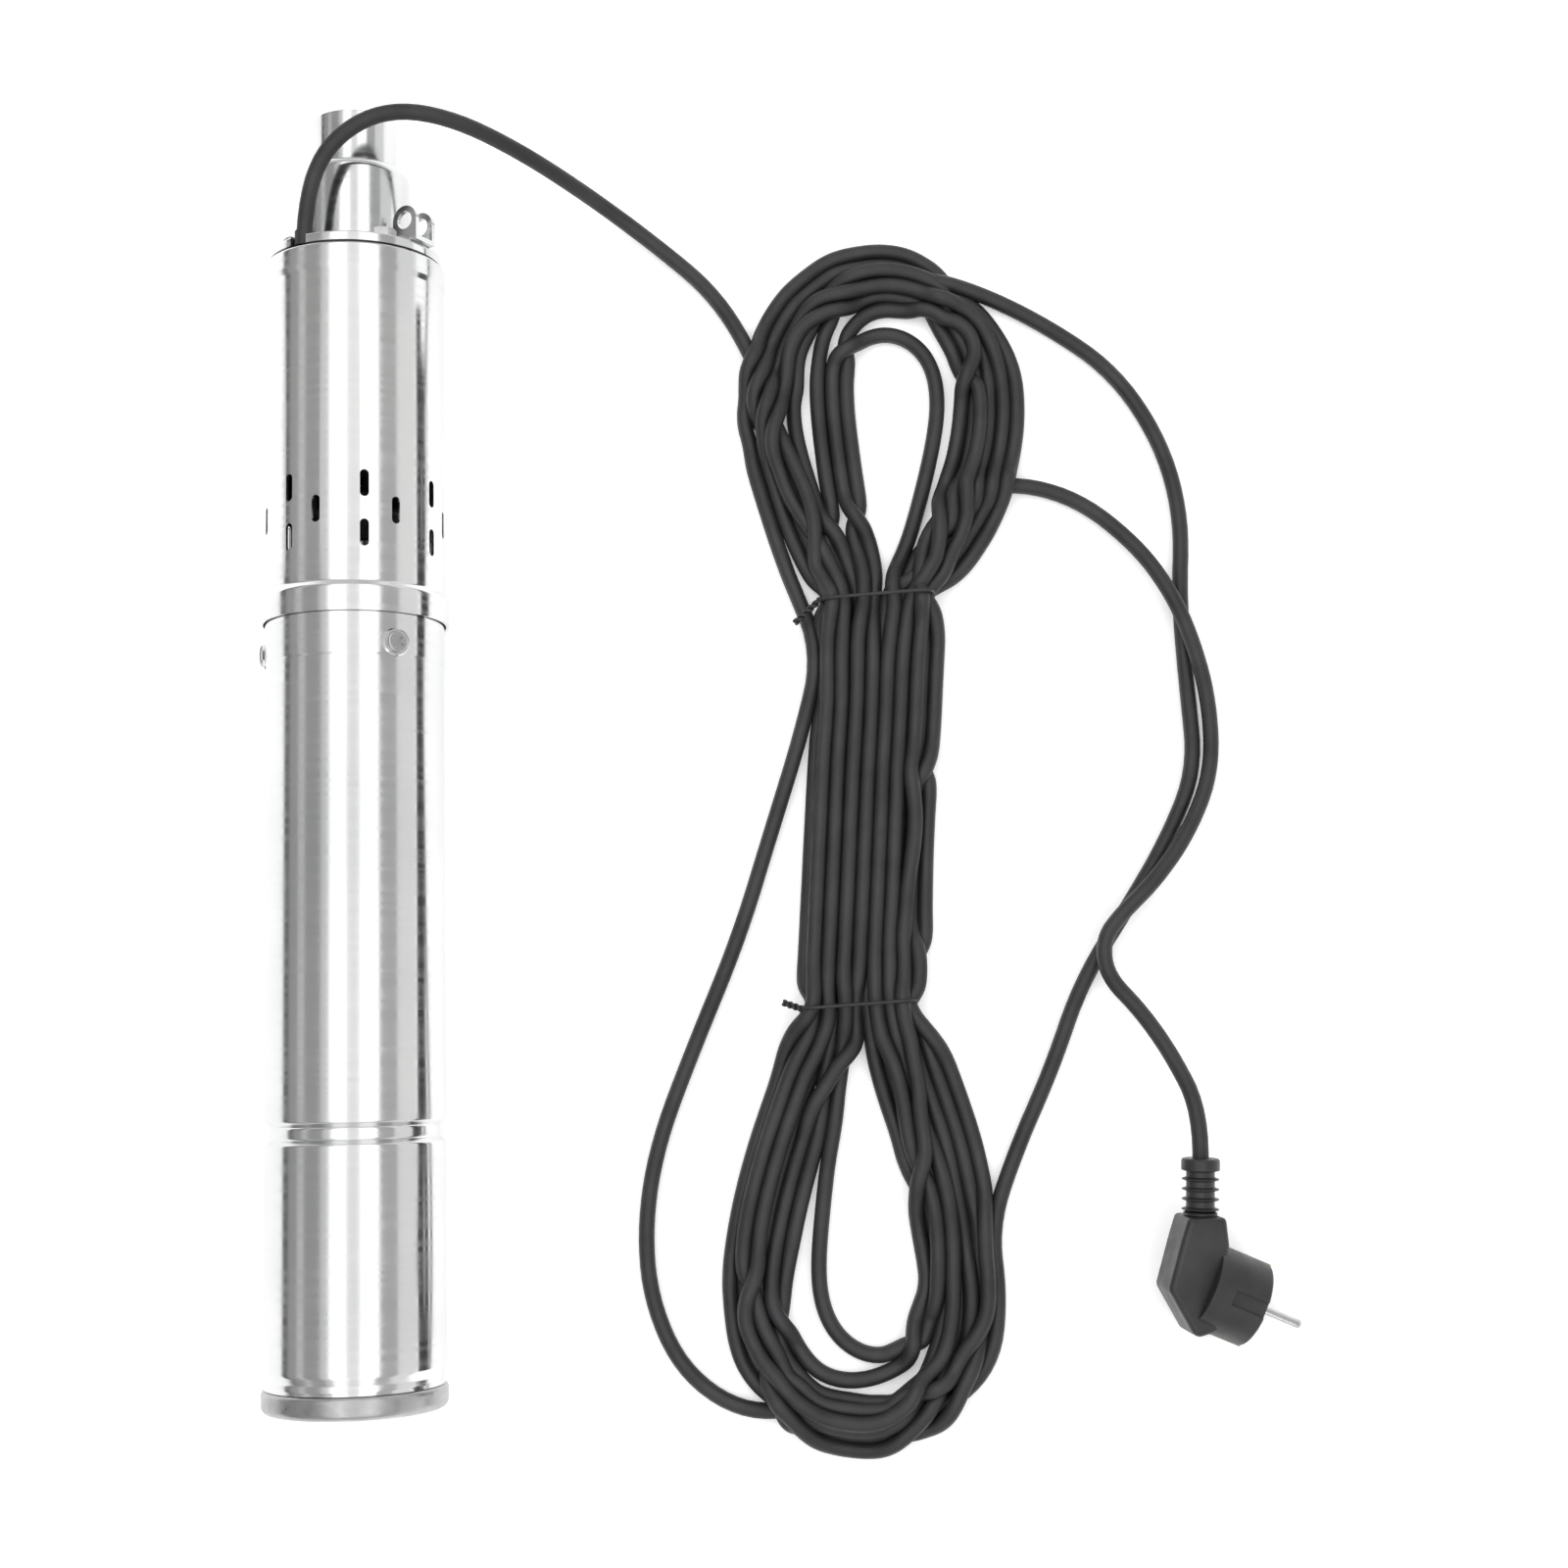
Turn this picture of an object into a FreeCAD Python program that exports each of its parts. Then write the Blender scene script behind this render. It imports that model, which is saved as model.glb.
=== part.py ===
import FreeCAD, Part
import math
import os

# A slim 75 mm borehole screw pump lying on its side, with its cable tied in a hank beside it.
# Every piece of the pump is drawn upright, with s as the height above the foot in mm, and is then
# laid down: +Y runs along the pump towards its outlet, +X to its side and +Z up from the floor.
# An azimuth is an angle about the pump's axis, from straight up (+Z) towards +X.

V = FreeCAD.Vector

# ---------------------------------------------------------------- driving dimensions, mm
TOTAL_LENGTH = 551.5        # foot to the mouth of the outlet
MOTOR_RADIUS = 37.5         # outside of the motor tube
TUBE_WALL = 1.2

# Radii, each as a step from the tube it fits
COLLAR_STEP = 0.4           # how far the motor tube's top end stands out
BELT_FIT = 0.7              # slack round that end inside the pump tube's flared foot
PUMP_STEP = 0.5             # how much larger the slotted pump tube is than the motor tube
BEAD_STEP = 0.7             # rolled bead at the top of the pump tube
BASE_STEP = 0.7             # rim of the foot

# Heights along the pump
BASE_TOP = 9.6
SPIGOT_TOP = 24.0           # top of the base's spigot in the motor tube
BASE_RING_S = 19.2          # its O-ring
OIL_HOLE = 4.0
NECK_S = 12.9               # narrow neck just above the base
NECK_DEPTH = 1.3
GROOVE_S = 113.0            # rolled groove that holds the lower bearing housing
GROOVE_DEPTH = 2.5
GROOVE_HALF = 4.6
COLLAR_S = 308.8
SCREW_RISE = 5.7            # side screws above the foot of the collar
BELT_RISE = 18.2            # foot of the pump tube above the foot of the collar
BELT_HEIGHT = 10.5
TUBE_OVERLAP = 7.0          # how far the motor tube reaches into the pump tube
BEAD_HEIGHT = 11.0
HEAD_HEIGHT = 66.5          # top of the pump tube to the mouth of the outlet
NOZZLE_HEIGHT = 28.1        # top of the outlet's wide neck to its mouth

SLOT_WIDTH = 3.7
SLOT_LENGTH = 11.5
SLOT_COLUMNS = 7
SLOT_RISE = 43.5            # middle of the slotted band above the foot of the pump tube
SLOT_ROW_STEP = 10.5
SLOT_AZIMUTH = 16.3
SLOT_STAGGER = 20.5

GASKET_THICK = 1.0
PLATE_THICK = 4.0
PLATE_INSET = 1.5           # edge of the head plate inside the bead
CABLE_RADIUS = 3.5
CABLE_AZIMUTH = -29.5
CABLE_INSET = 3.8           # cable's line inside the bore of the pump tube, at the head
CABLE_JOG = 2.5             # how much nearer the axis it runs inside the pump
GROMMET_WALL = 0.65
GROMMET_STAND = 2.6         # how far the grommet stands out of the head plate

NECK_RADIUS = 23.5          # wide neck of the outlet
SHOULDER = 4.7
SHOULDER_HEIGHT = 5.9
NOZZLE_RADIUS = 18.7
THREAD_RADIUS = 15.15       # minor radius of a G1 pipe thread
THREAD_DEPTH = 20.0
THROAT_RADIUS = 14.0
OUTLET_WALL = 4.0

LUG_AZIMUTH = 59.5
LUG_INSET = 3.8             # middle of a lug inside the bore of the pump tube
LUG_WIDTH = 12.7
LUG_SPAN = 12.6
LUG_THICK = 2.0
LUG_HOLE = 3.9
LUG_HOLE_HEIGHT = 9.4
LUG_SCREW_INSET = 1.5
LUG_SCREW_RADIUS = 2.5
BOLT_AZIMUTH = 33.5
BOLT_STEP = 6.5             # a head bolt's line outside the outlet's neck
BOLT_RADIUS = 3.0
BOLT_HEAD_AF = 10.0
BOLT_HEAD_HEIGHT = 4.0
SIDE_SCREW_AZIMUTH = 36.9
SIDE_SCREW_RADIUS = 2.5
SIDE_SCREW_LENGTH = 9.9

SHAFT_RADIUS = 7.5
STUB_RADIUS = 6.0
BEARING_DEPTH = 10.0        # from a bearing's bore to its outside
UPPER_BEARING_WIDTH = 11.0
LOWER_BEARING_WIDTH = 10.0
UPPER_BALLS = 8
LOWER_BALLS = 7
BALL_RADIUS = 2.4
UPPER_BEARING_DROP = 16.8   # below the foot of the collar
HOUSING_DROP = 24.8
SEAL_DEPTH = 7.5            # from the shaft to the seal's bore in the housing
CORE_RISE = 37.0            # foot of the stator core above the rolled groove
CORE_LENGTH = 90.0
ROTOR_RADIUS = 18.6
AIR_GAP = 0.4
WINDING_REACH = 17.0        # end turns beyond the core
WINDING_INSET = 5.3         # outside of the end turns inside the motor tube's bore
CAPACITOR_RADIUS = 19.0
CAPACITOR_S = 34.0
CAPACITOR_LENGTH = 58.0

ECCENTRICITY = 2.8          # screw rotor's orbit, and its crank
SCREW_RADIUS = 7.2
SCREW_PITCH = 40.0
SCREW_CLEARANCE = 0.4
SCREW_END_GAP = 13.0        # top of the screw rotor below the top of the pump tube
STAGE_RADIUS = 23.0
STAGE_WALL = 1.5
ROD_RADIUS = 4.0
ROD_FIT = 0.7
ROD_END = 3.4               # rounded ends of the rod beyond its two pivots
# Heights above the foot of the pump tube
SOCKET_RISE = 16.0
SHAFT_RISE = 25.0
ROD_LOW_RISE = 32.0
ROD_HIGH_RISE = 53.0
SCREW_FOOT_RISE = 57.0
STAGE_RISE = 63.0

STEM_RADIUS = 3.0
VALVE_SEAT_RISE = 4.6
VALVE_SEAT_HEIGHT = 4.5
POPPET_INSET = 4.5          # edge of the poppet inside the valve chamber
GUIDE_THICK = 3.0
GUIDE_BOSS = 5.5
SPRING_WIRE = 0.65
SPRING_RADIUS = 5.0
SPRING_TURNS = 6

TOUCH_GAP = 0.1             # faces that lie on each other
RUN_CLEARANCE = 0.05        # a shaft or stem in its bore
SLIP_CLEARANCE = 0.1        # a piece that is pushed into another
FREE_CLEARANCE = 0.5        # pieces that pass each other

PLUG_FACE = V(375.7, -244.3, 18.7)
PLUG_TURN = -24.0
PLUG_TILT = 8.0
PLUG_RADIUS = 18.4
PLUG_DEPTH = 24.0
GRIP_HALF = 11.5            # half the thickness of the plug's grip
PIN_RADIUS = 2.4
PIN_ROOT_RADIUS = 1.9
PIN_LENGTH = 19.0
PIN_SPREAD = 19.0
PIN_FOOT = 0.02             # where a pin swells, just clear of the plug's face
RELIEF_FOOT = V(-35.7, 26.0, 0)
RELIEF_TOP = V(-44.6, 48.2, 0)
RELIEF_WALL = 2.5
RELIEF_RIB = 2.4

HANK_HEIGHT = 21.0
TIE_WIRE = 1.6
TIE_GAP = 0.2
TIE_STANDOFF = 5.2          # how far the twisted ends lie outside the loop

# ---------------------------------------------------------------- sizes that follow
COLLAR_RADIUS = MOTOR_RADIUS + COLLAR_STEP
BELT_RADIUS = COLLAR_RADIUS + BELT_FIT + TUBE_WALL
PUMP_RADIUS = MOTOR_RADIUS + PUMP_STEP
BEAD_RADIUS = PUMP_RADIUS + BEAD_STEP
BASE_RADIUS = MOTOR_RADIUS + BASE_STEP
PLATE_RADIUS = BEAD_RADIUS - PLATE_INSET
MOTOR_BORE = MOTOR_RADIUS - TUBE_WALL
PUMP_BORE = PUMP_RADIUS - TUBE_WALL
COLLAR_BORE = COLLAR_RADIUS - TUBE_WALL
SPIGOT_RADIUS = MOTOR_BORE - NECK_DEPTH - SLIP_CLEARANCE
CABLE_RING = PUMP_BORE - CABLE_INSET
NOTCH_WIDTH = 2 * (CABLE_RADIUS + GROMMET_WALL)
LUG_RING = PUMP_BORE - LUG_INSET
LUG_SCREW_RING = LUG_RING - LUG_SCREW_INSET
BOLT_RING = NECK_RADIUS + BOLT_STEP
FLANGE_RADIUS = BOLT_RING - BOLT_RADIUS - FREE_CLEARANCE
CHAMBER_RADIUS = NECK_RADIUS - OUTLET_WALL
POPPET_RADIUS = CHAMBER_RADIUS - POPPET_INSET
SEAL_BORE = SHAFT_RADIUS + SEAL_DEPTH
WINDING_RADIUS = MOTOR_BORE - WINDING_INSET
WINDING_BORE = ROTOR_RADIUS + 2.4
UPPER_BEARING = (SHAFT_RADIUS, SHAFT_RADIUS + BEARING_DEPTH, UPPER_BEARING_WIDTH, UPPER_BALLS)
LOWER_BEARING = (STUB_RADIUS, STUB_RADIUS + BEARING_DEPTH, LOWER_BEARING_WIDTH, LOWER_BALLS)

SCREW_S = COLLAR_S + SCREW_RISE
BELT_S = COLLAR_S + BELT_RISE
BELT_TOP = BELT_S + BELT_HEIGHT
MOTOR_TOP = BELT_S + TUBE_OVERLAP
PUMP_TOP = TOTAL_LENGTH - HEAD_HEIGHT
BEAD_S = PUMP_TOP - BEAD_HEIGHT
NECK_TOP = TOTAL_LENGTH - NOZZLE_HEIGHT
SHOULDER_TOP = NECK_TOP + SHOULDER_HEIGHT
PLATE_S = PUMP_TOP + GASKET_THICK + 2 * TOUCH_GAP
PLATE_TOP = PLATE_S + PLATE_THICK
SLOT_MIDDLE_S = BELT_S + SLOT_RISE
CORE_BOTTOM = GROOVE_S + CORE_RISE
CORE_TOP = CORE_BOTTOM + CORE_LENGTH
WINDING_TOP = CORE_TOP + WINDING_REACH
HOUSING_S = COLLAR_S - HOUSING_DROP
HOUSING_RING_S = HOUSING_S + 17.2
UPPER_BEARING_S = COLLAR_S - UPPER_BEARING_DROP
UPPER_HOUSING_TOP = BELT_S - 0.8
SEAL_S = BELT_S - 11.0
SEAL_FACE_S = SEAL_S + 7.0
INTAKE_S = UPPER_HOUSING_TOP + TOUCH_GAP
INTAKE_TOP = BELT_S + 23.0
SOCKET_S = BELT_S + SOCKET_RISE
SHAFT_TOP = BELT_S + SHAFT_RISE
ROD_LOW_S = BELT_S + ROD_LOW_RISE
ROD_HIGH_S = BELT_S + ROD_HIGH_RISE
SCREW_BOTTOM = BELT_S + SCREW_FOOT_RISE
SCREW_TOP = PUMP_TOP - SCREW_END_GAP
STAGE_BOTTOM = BELT_S + STAGE_RISE
DISCHARGE_S = PUMP_TOP - 23.0
DISCHARGE_TOP = PUMP_TOP - 3.1
SLEEVE_TOP = DISCHARGE_S + 8
SEAT_S = DISCHARGE_TOP + VALVE_SEAT_RISE
POPPET_S = SEAT_S + VALVE_SEAT_HEIGHT + TOUCH_GAP
GUIDE_TOP = NECK_TOP - 0.4
AXIS_HEIGHT = BELT_RADIUS
ROW_SHIFT = -TOTAL_LENGTH / 2
UP = V(0, 0, 1)


# ---------------------------------------------------------------- helpers
def around(azimuth, radius, s=0.0):
    """A point of the upright pump at an azimuth, a distance from the axis and a height."""
    a = math.radians(azimuth)
    return V(radius * math.sin(a), -radius * math.cos(a), s)


def rounded_wire(corners, place):
    """A closed wire through corners (x, y, radius), each corner rounded by a tangent arc."""
    spans = []
    for i, (x, y, radius) in enumerate(corners):
        here = V(x, y, 0)
        before = V(*corners[i - 1][:2], 0)
        after = V(*corners[(i + 1) % len(corners)][:2], 0)
        if radius <= 0:
            spans.append((here, None, here))
            continue
        back = (before - here).normalize()
        ahead = (after - here).normalize()
        half = back.getAngle(ahead) / 2
        reach = radius / math.tan(half)
        middle = (back + ahead).normalize() * (radius / math.sin(half))
        centre = here + middle
        spans.append((here + back * reach, centre - middle.normalize() * radius, here + ahead * reach))
    edges = []
    for i, (start, through, end) in enumerate(spans):
        leave = spans[i - 1][2]
        if leave.distanceToPoint(start) > 1e-6:
            edges.append(Part.LineSegment(place(leave), place(start)).toShape())
        if through is not None:
            edges.append(Part.Arc(place(start), place(through), place(end)).toShape())
    return Part.Wire(edges)


def turned(corners):
    """A solid of revolution about the pump's axis from corners (r, s) or (r, s, rounding)."""
    full = [c if len(c) == 3 else (c[0], c[1], 0) for c in corners]
    wire = rounded_wire(full, lambda p: V(p.x, 0, p.y))
    return Part.Face(wire).revolve(V(0, 0, 0), UP, 360)


def ring(inner, outer, low, high):
    if inner <= 0:
        return Part.makeCylinder(outer, high - low, V(0, 0, low))
    return turned([(inner, low), (outer, low), (outer, high), (inner, high)])


def plate(corners, low, high):
    """A flat outline of corners (x, y, rounding), drawn up from low to high."""
    wire = rounded_wire(corners, lambda p: V(p.x, p.y, low))
    return Part.Face(wire).extrude(V(0, 0, high - low))


def peg(foot, direction, radius, length):
    return Part.makeCylinder(radius, length, foot, direction)


def repeated(shape, count, start=0.0):
    """Copies of a shape spaced evenly about the pump's axis."""
    copies = []
    for i in range(count):
        copy = shape.copy()
        copy.rotate(V(0, 0, 0), UP, start + 360.0 * i / count)
        copies.append(copy)
    return copies


def cut_all(shape, tools):
    return shape.cut(Part.makeCompound(tools)) if tools else shape


def lay_down(shape):
    """Turns an upright pump piece onto its side, in the frame of the whole part."""
    laid = shape.copy()
    down = FreeCAD.Placement(V(0, ROW_SHIFT, AXIS_HEIGHT), FreeCAD.Rotation(V(1, 0, 0), -90))
    laid.Placement = down.multiply(laid.Placement)
    return laid


# ---------------------------------------------------------------- motor
def base_ring():
    """Bottom cover: a rim, and a spigot up into the motor tube with a groove for its O-ring."""
    wall, floor = 3.5, 6.0
    body = turned([(0, 0), (BASE_RADIUS, 0, 3.2), (BASE_RADIUS, BASE_TOP, 2.2),
                   (SPIGOT_RADIUS, BASE_TOP), (SPIGOT_RADIUS, SPIGOT_TOP),
                   (SPIGOT_RADIUS - wall, SPIGOT_TOP), (SPIGOT_RADIUS - wall, floor), (0, floor)])
    groove = ring(SPIGOT_RADIUS - 2.0, SPIGOT_RADIUS + 1.0, BASE_RING_S - 1.2, BASE_RING_S + 1.2)
    return body.cut(groove).cut(ring(0, OIL_HOLE, -1, floor + 1))


def base_o_ring():
    return Part.makeTorus(SPIGOT_RADIUS - 0.85, 1.1, V(0, 0, BASE_RING_S))


def oil_plug():
    shank = OIL_HOLE - SLIP_CLEARANCE
    body = turned([(0, 1.2), (6.5, 1.2, 0.5), (6.5, 2.6), (shank, 2.6), (shank, 8), (0, 8)])
    slot = Part.makeBox(9, 1.4, 0.8, V(-4.5, -0.7, 1.1))
    return body.cut(slot)


def seat_for_oil_plug(shape):
    return shape.cut(ring(0, 6.6, -1, 2.6))


def diaphragm():
    """Dished rubber disc on the spigot, between the motor's oil and the water."""
    rim = SPIGOT_TOP + TOUCH_GAP
    return turned([(0, 30), (18, 30), (24, 26), (SPIGOT_RADIUS, 26), (SPIGOT_RADIUS, rim), (23, rim),
                   (17, 28), (0, 28)])


def capacitor():
    top = CAPACITOR_S + CAPACITOR_LENGTH
    can = turned([(0, CAPACITOR_S), (CAPACITOR_RADIUS, CAPACITOR_S, 1.5), (CAPACITOR_RADIUS, top, 1.5),
                  (0, top)])
    tabs = [Part.makeBox(6.3, 0.8, 7, V(x - 3.15, -0.4, top - 0.1)) for x in (-7, 7)]
    return can.multiFuse(tabs)


def capacitor_clip():
    """Spring ring that holds the capacitor in the middle of the tube."""
    bore = CAPACITOR_RADIUS + SLIP_CLEARANCE
    band = 1.5
    low, high = CAPACITOR_S + 24, CAPACITOR_S + 34
    arm = Part.makeBox(MOTOR_BORE - bore, 8, high - low, V(bore + band - 0.4, -4, low))
    clip = ring(bore, bore + band, low, high).multiFuse(repeated(arm, 3, 30))
    return clip.common(ring(bore, MOTOR_BORE - RUN_CLEARANCE, low, high))


def motor_tube():
    r, wall = MOTOR_RADIUS, TUBE_WALL
    neck, groove = r - NECK_DEPTH, r - GROOVE_DEPTH
    outside = [(r - 0.6, BASE_TOP + 0.1), (neck, BASE_TOP + 1.6, 1.0), (neck, NECK_S + 0.6, 1.2),
               (r, NECK_S + 4.0, 3.0),
               (r, GROOVE_S - GROOVE_HALF, 1.2), (groove, GROOVE_S - 2.2, 1.6),
               (groove, GROOVE_S + 2.2, 1.6), (r, GROOVE_S + GROOVE_HALF, 1.2),
               (r, COLLAR_S, 0.3), (COLLAR_RADIUS, COLLAR_S + 1.0, 0.3), (COLLAR_RADIUS, MOTOR_TOP)]
    inside = []
    for x, s, *rounding in reversed(outside):
        inside.append((x - wall, s, *rounding))
    tube = turned(outside + inside)
    holes = [peg(around(SIDE_SCREW_AZIMUTH + 120 * i, r - 5, SCREW_S),
                 around(SIDE_SCREW_AZIMUTH + 120 * i, 1), 2.6, 8) for i in range(3)]
    return cut_all(tube, holes)


def bearing(spec, low):
    """Outer race, balls and inner race of a ball bearing."""
    bore, outer, width, count = spec
    middle = low + width / 2
    pitch = (bore + outer) / 2
    track = Part.makeTorus(pitch, BALL_RADIUS + RUN_CLEARANCE, V(0, 0, middle))
    gap = 0.62 * BALL_RADIUS
    outer_race = ring(pitch + gap, outer, low, low + width).cut(track)
    inner_race = ring(bore, pitch - gap, low, low + width).cut(track)
    balls = repeated(Part.makeSphere(BALL_RADIUS, V(pitch, 0, middle)), count)
    return outer_race, balls, inner_race


def lower_bearing_housing():
    """Disc behind the rolled groove, with the lower bearing in its cup."""
    outer = LOWER_BEARING[1]
    throat = MOTOR_BORE - GROOVE_DEPTH - SLIP_CLEARANCE
    rim = MOTOR_BORE - SLIP_CLEARANCE
    seat, low, top = GROOVE_S, GROOVE_S - 9, GROOVE_S + 15
    shelf = GROOVE_S + GROOVE_HALF + 1.2
    return turned([(0, low), (outer, low, 2), (outer + 3.5, low + 4, 2), (throat, low + 4),
                   (throat, shelf), (rim, shelf), (rim, top),
                   (outer, top), (outer, seat), (outer - 2.5, seat), (outer - 2.5, seat - 3),
                   (0, seat - 3)])


def upper_bearing_housing():
    """Top of the motor: it holds the upper bearing, the shaft seal, the side screws and the cable."""
    outer = UPPER_BEARING[1]
    bearing_top = UPPER_BEARING_S + UPPER_BEARING_WIDTH
    top = UPPER_HOUSING_TOP
    lower_rim = MOTOR_BORE - SLIP_CLEARANCE
    upper_rim = COLLAR_BORE - SLIP_CLEARANCE
    shaft_bore = SHAFT_RADIUS + 1.5
    body = turned([(outer, HOUSING_S), (lower_rim, HOUSING_S, 1), (lower_rim, COLLAR_S + 0.3),
                   (upper_rim, COLLAR_S + 1.5), (upper_rim, top, 1), (SEAL_BORE, top),
                   (SEAL_BORE, SEAL_S), (shaft_bore, SEAL_S), (shaft_bore, bearing_top),
                   (outer, bearing_top)])
    deep = COLLAR_RADIUS - SIDE_SCREW_LENGTH - 2.0
    threads = [peg(around(SIDE_SCREW_AZIMUTH + 120 * i, deep, SCREW_S),
                   around(SIDE_SCREW_AZIMUTH + 120 * i, 1), SIDE_SCREW_RADIUS + RUN_CLEARANCE,
                   COLLAR_RADIUS - deep + 2) for i in range(3)]
    cable = inner_cable_path(HOUSING_S - 1, top + 1)
    seal_groove = ring(MOTOR_BORE - 2.0, MOTOR_BORE + 1, HOUSING_RING_S - 1.2, HOUSING_RING_S + 1.2)
    return cut_all(body, threads + [cable, seal_groove])


def housing_o_ring():
    return Part.makeTorus(MOTOR_BORE - 1.0, 0.95, V(0, 0, HOUSING_RING_S))


def stator_core():
    """Laminated stack with winding slots open to the bore."""
    stack = ring(ROTOR_RADIUS + AIR_GAP, MOTOR_BORE - SLIP_CLEARANCE, CORE_BOTTOM, CORE_TOP)
    mouth, widen, deep = ROTOR_RADIUS - 2, WINDING_BORE + 3, WINDING_RADIUS
    slot = plate([(mouth, -1.2, 0), (widen, -1.2, 0), (deep, -3.2, 1), (deep, 3.2, 1),
                  (widen, 1.2, 0), (mouth, 1.2, 0)], CORE_BOTTOM - 1, CORE_TOP + 1)
    return cut_all(stack, repeated(slot, 12))


def windings():
    """End turns of the coils above and below the core."""
    bore, outer, low = WINDING_BORE, WINDING_RADIUS, CORE_BOTTOM - WINDING_REACH
    lower = turned([(bore, low, 3), (outer, low, 3), (outer, CORE_BOTTOM), (bore, CORE_BOTTOM)])
    upper = turned([(bore, CORE_TOP), (outer, CORE_TOP), (outer, WINDING_TOP, 3), (bore, WINDING_TOP, 3)])
    return Part.makeCompound([lower, upper])


def thermal_protector():
    """Small switch on the upper end turns."""
    azimuth = CABLE_AZIMUTH + 60
    body = Part.makeBox(8, 14, 6, V(-4, -7, 0))
    body.rotate(V(0, 0, 0), UP, azimuth - 90)
    body.translate(around(azimuth, (WINDING_BORE + WINDING_RADIUS) / 2, WINDING_TOP + TOUCH_GAP))
    return body


def lead_wires():
    """Three motor leads from the winding to the cable's end in the housing."""
    wires = []
    for i in (-1, 0, 1):
        foot = around(CABLE_AZIMUTH + 5 * i, CABLE_RING - 6, WINDING_TOP + RUN_CLEARANCE)
        wires.append(peg(foot, UP, 1.0, HOUSING_S - WINDING_TOP - RUN_CLEARANCE - TOUCH_GAP))
    return Part.makeCompound(wires)


def motor_shaft():
    low, step = GROOVE_S - 1.5, GROOVE_S + 13
    return turned([(0, low), (STUB_RADIUS, low, 0.6), (STUB_RADIUS, step), (SHAFT_RADIUS, step),
                   (SHAFT_RADIUS, MOTOR_TOP), (STUB_RADIUS, MOTOR_TOP), (STUB_RADIUS, SHAFT_TOP, 0.6),
                   (0, SHAFT_TOP)])


def rotor_core():
    return ring(SHAFT_RADIUS, ROTOR_RADIUS, CORE_BOTTOM, CORE_TOP)


def rotor_end_rings():
    rings = []
    for low, high in ((CORE_BOTTOM - 7, CORE_BOTTOM), (CORE_TOP, CORE_TOP + 7)):
        rings.append(ring(SHAFT_RADIUS + 3.5, ROTOR_RADIUS - 1, low, high))
    return Part.makeCompound(rings)


def seal_seat():
    bore, outer = SHAFT_RADIUS + FREE_CLEARANCE, SEAL_BORE - RUN_CLEARANCE
    return turned([(bore, SEAL_S), (outer, SEAL_S), (outer, SEAL_S + 5, 0.6),
                   (bore + 3, SEAL_FACE_S, 0.4), (bore, SEAL_FACE_S)])


def seal_ring():
    low = SEAL_FACE_S + TOUCH_GAP
    face, body, top = SHAFT_RADIUS + 3.3, SHAFT_RADIUS + 4.5, MOTOR_TOP - 0.5
    return turned([(SHAFT_RADIUS, low), (face, low), (face, SEAL_FACE_S + 3), (body, SEAL_FACE_S + 4),
                   (body, top, 0.8), (SHAFT_RADIUS, top)])


def sand_slinger():
    """Rubber disc with a drooping rim that keeps sand off the seal."""
    low, hub, rim = MOTOR_TOP + 2, STUB_RADIUS + 3, STUB_RADIUS + 8
    return turned([(STUB_RADIUS, low), (hub, low), (rim, low - 1.4, 0.3), (rim, low + 0.2, 0.3),
                   (hub, low + 4), (STUB_RADIUS, low + 4)])


def coupling_socket():
    outer, top = STUB_RADIUS + 4, ROD_LOW_S + 5
    body = turned([(0, SOCKET_S), (outer, SOCKET_S, 1), (outer, top, 1.5), (0, top)])
    shaft_hole = ring(0, STUB_RADIUS, SOCKET_S - 1, SHAFT_TOP)
    return body.cut(shaft_hole).cut(ring(0, ROD_RADIUS + ROD_FIT, ROD_LOW_S - 4, top + 1))


# ---------------------------------------------------------------- coupling and screw stage
def rod_line():
    low = V(0, 0, ROD_LOW_S)
    high = V(ECCENTRICITY, 0, ROD_HIGH_S)
    return low, (high - low).normalize(), high.distanceToPoint(low)


def connecting_rod():
    low, along, length = rod_line()
    return peg(low - along * ROD_END, along, ROD_RADIUS, length + 2 * ROD_END)


def coupling_boot():
    low, along, _ = rod_line()
    outer = peg(low + along * 6.4, along, ROD_RADIUS + 3, 9.2)
    return outer.cut(peg(low + along * 6.0, along, ROD_RADIUS + 0.4, 10.0))


def screw_rotor():
    """Round section on a helical crank, with a round head for the connecting rod."""
    length = SCREW_TOP - SCREW_BOTTOM
    helix = Part.makeHelix(SCREW_PITCH, length, ECCENTRICITY)
    helix.translate(V(ECCENTRICITY, 0, SCREW_BOTTOM))
    start = V(2 * ECCENTRICITY, 0, SCREW_BOTTOM)
    section = Part.Wire(Part.makeCircle(SCREW_RADIUS, start, UP))
    sweep = Part.BRepOffsetAPI.MakePipeShell(Part.Wire(helix.Edges))
    sweep.setBiNormalMode(UP)
    sweep.add(section)
    sweep.build()
    sweep.makeSolid()
    screw = sweep.shape()
    deep = 8.0
    head = Part.makeCylinder(ROD_RADIUS + 4, deep + 0.5, V(ECCENTRICITY, 0, SCREW_BOTTOM - deep))
    hole = Part.makeCylinder(ROD_RADIUS + ROD_FIT, deep, V(ECCENTRICITY, 0, SCREW_BOTTOM - deep - 0.1))
    return screw.fuse(head).removeSplitter().cut(hole)


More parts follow.
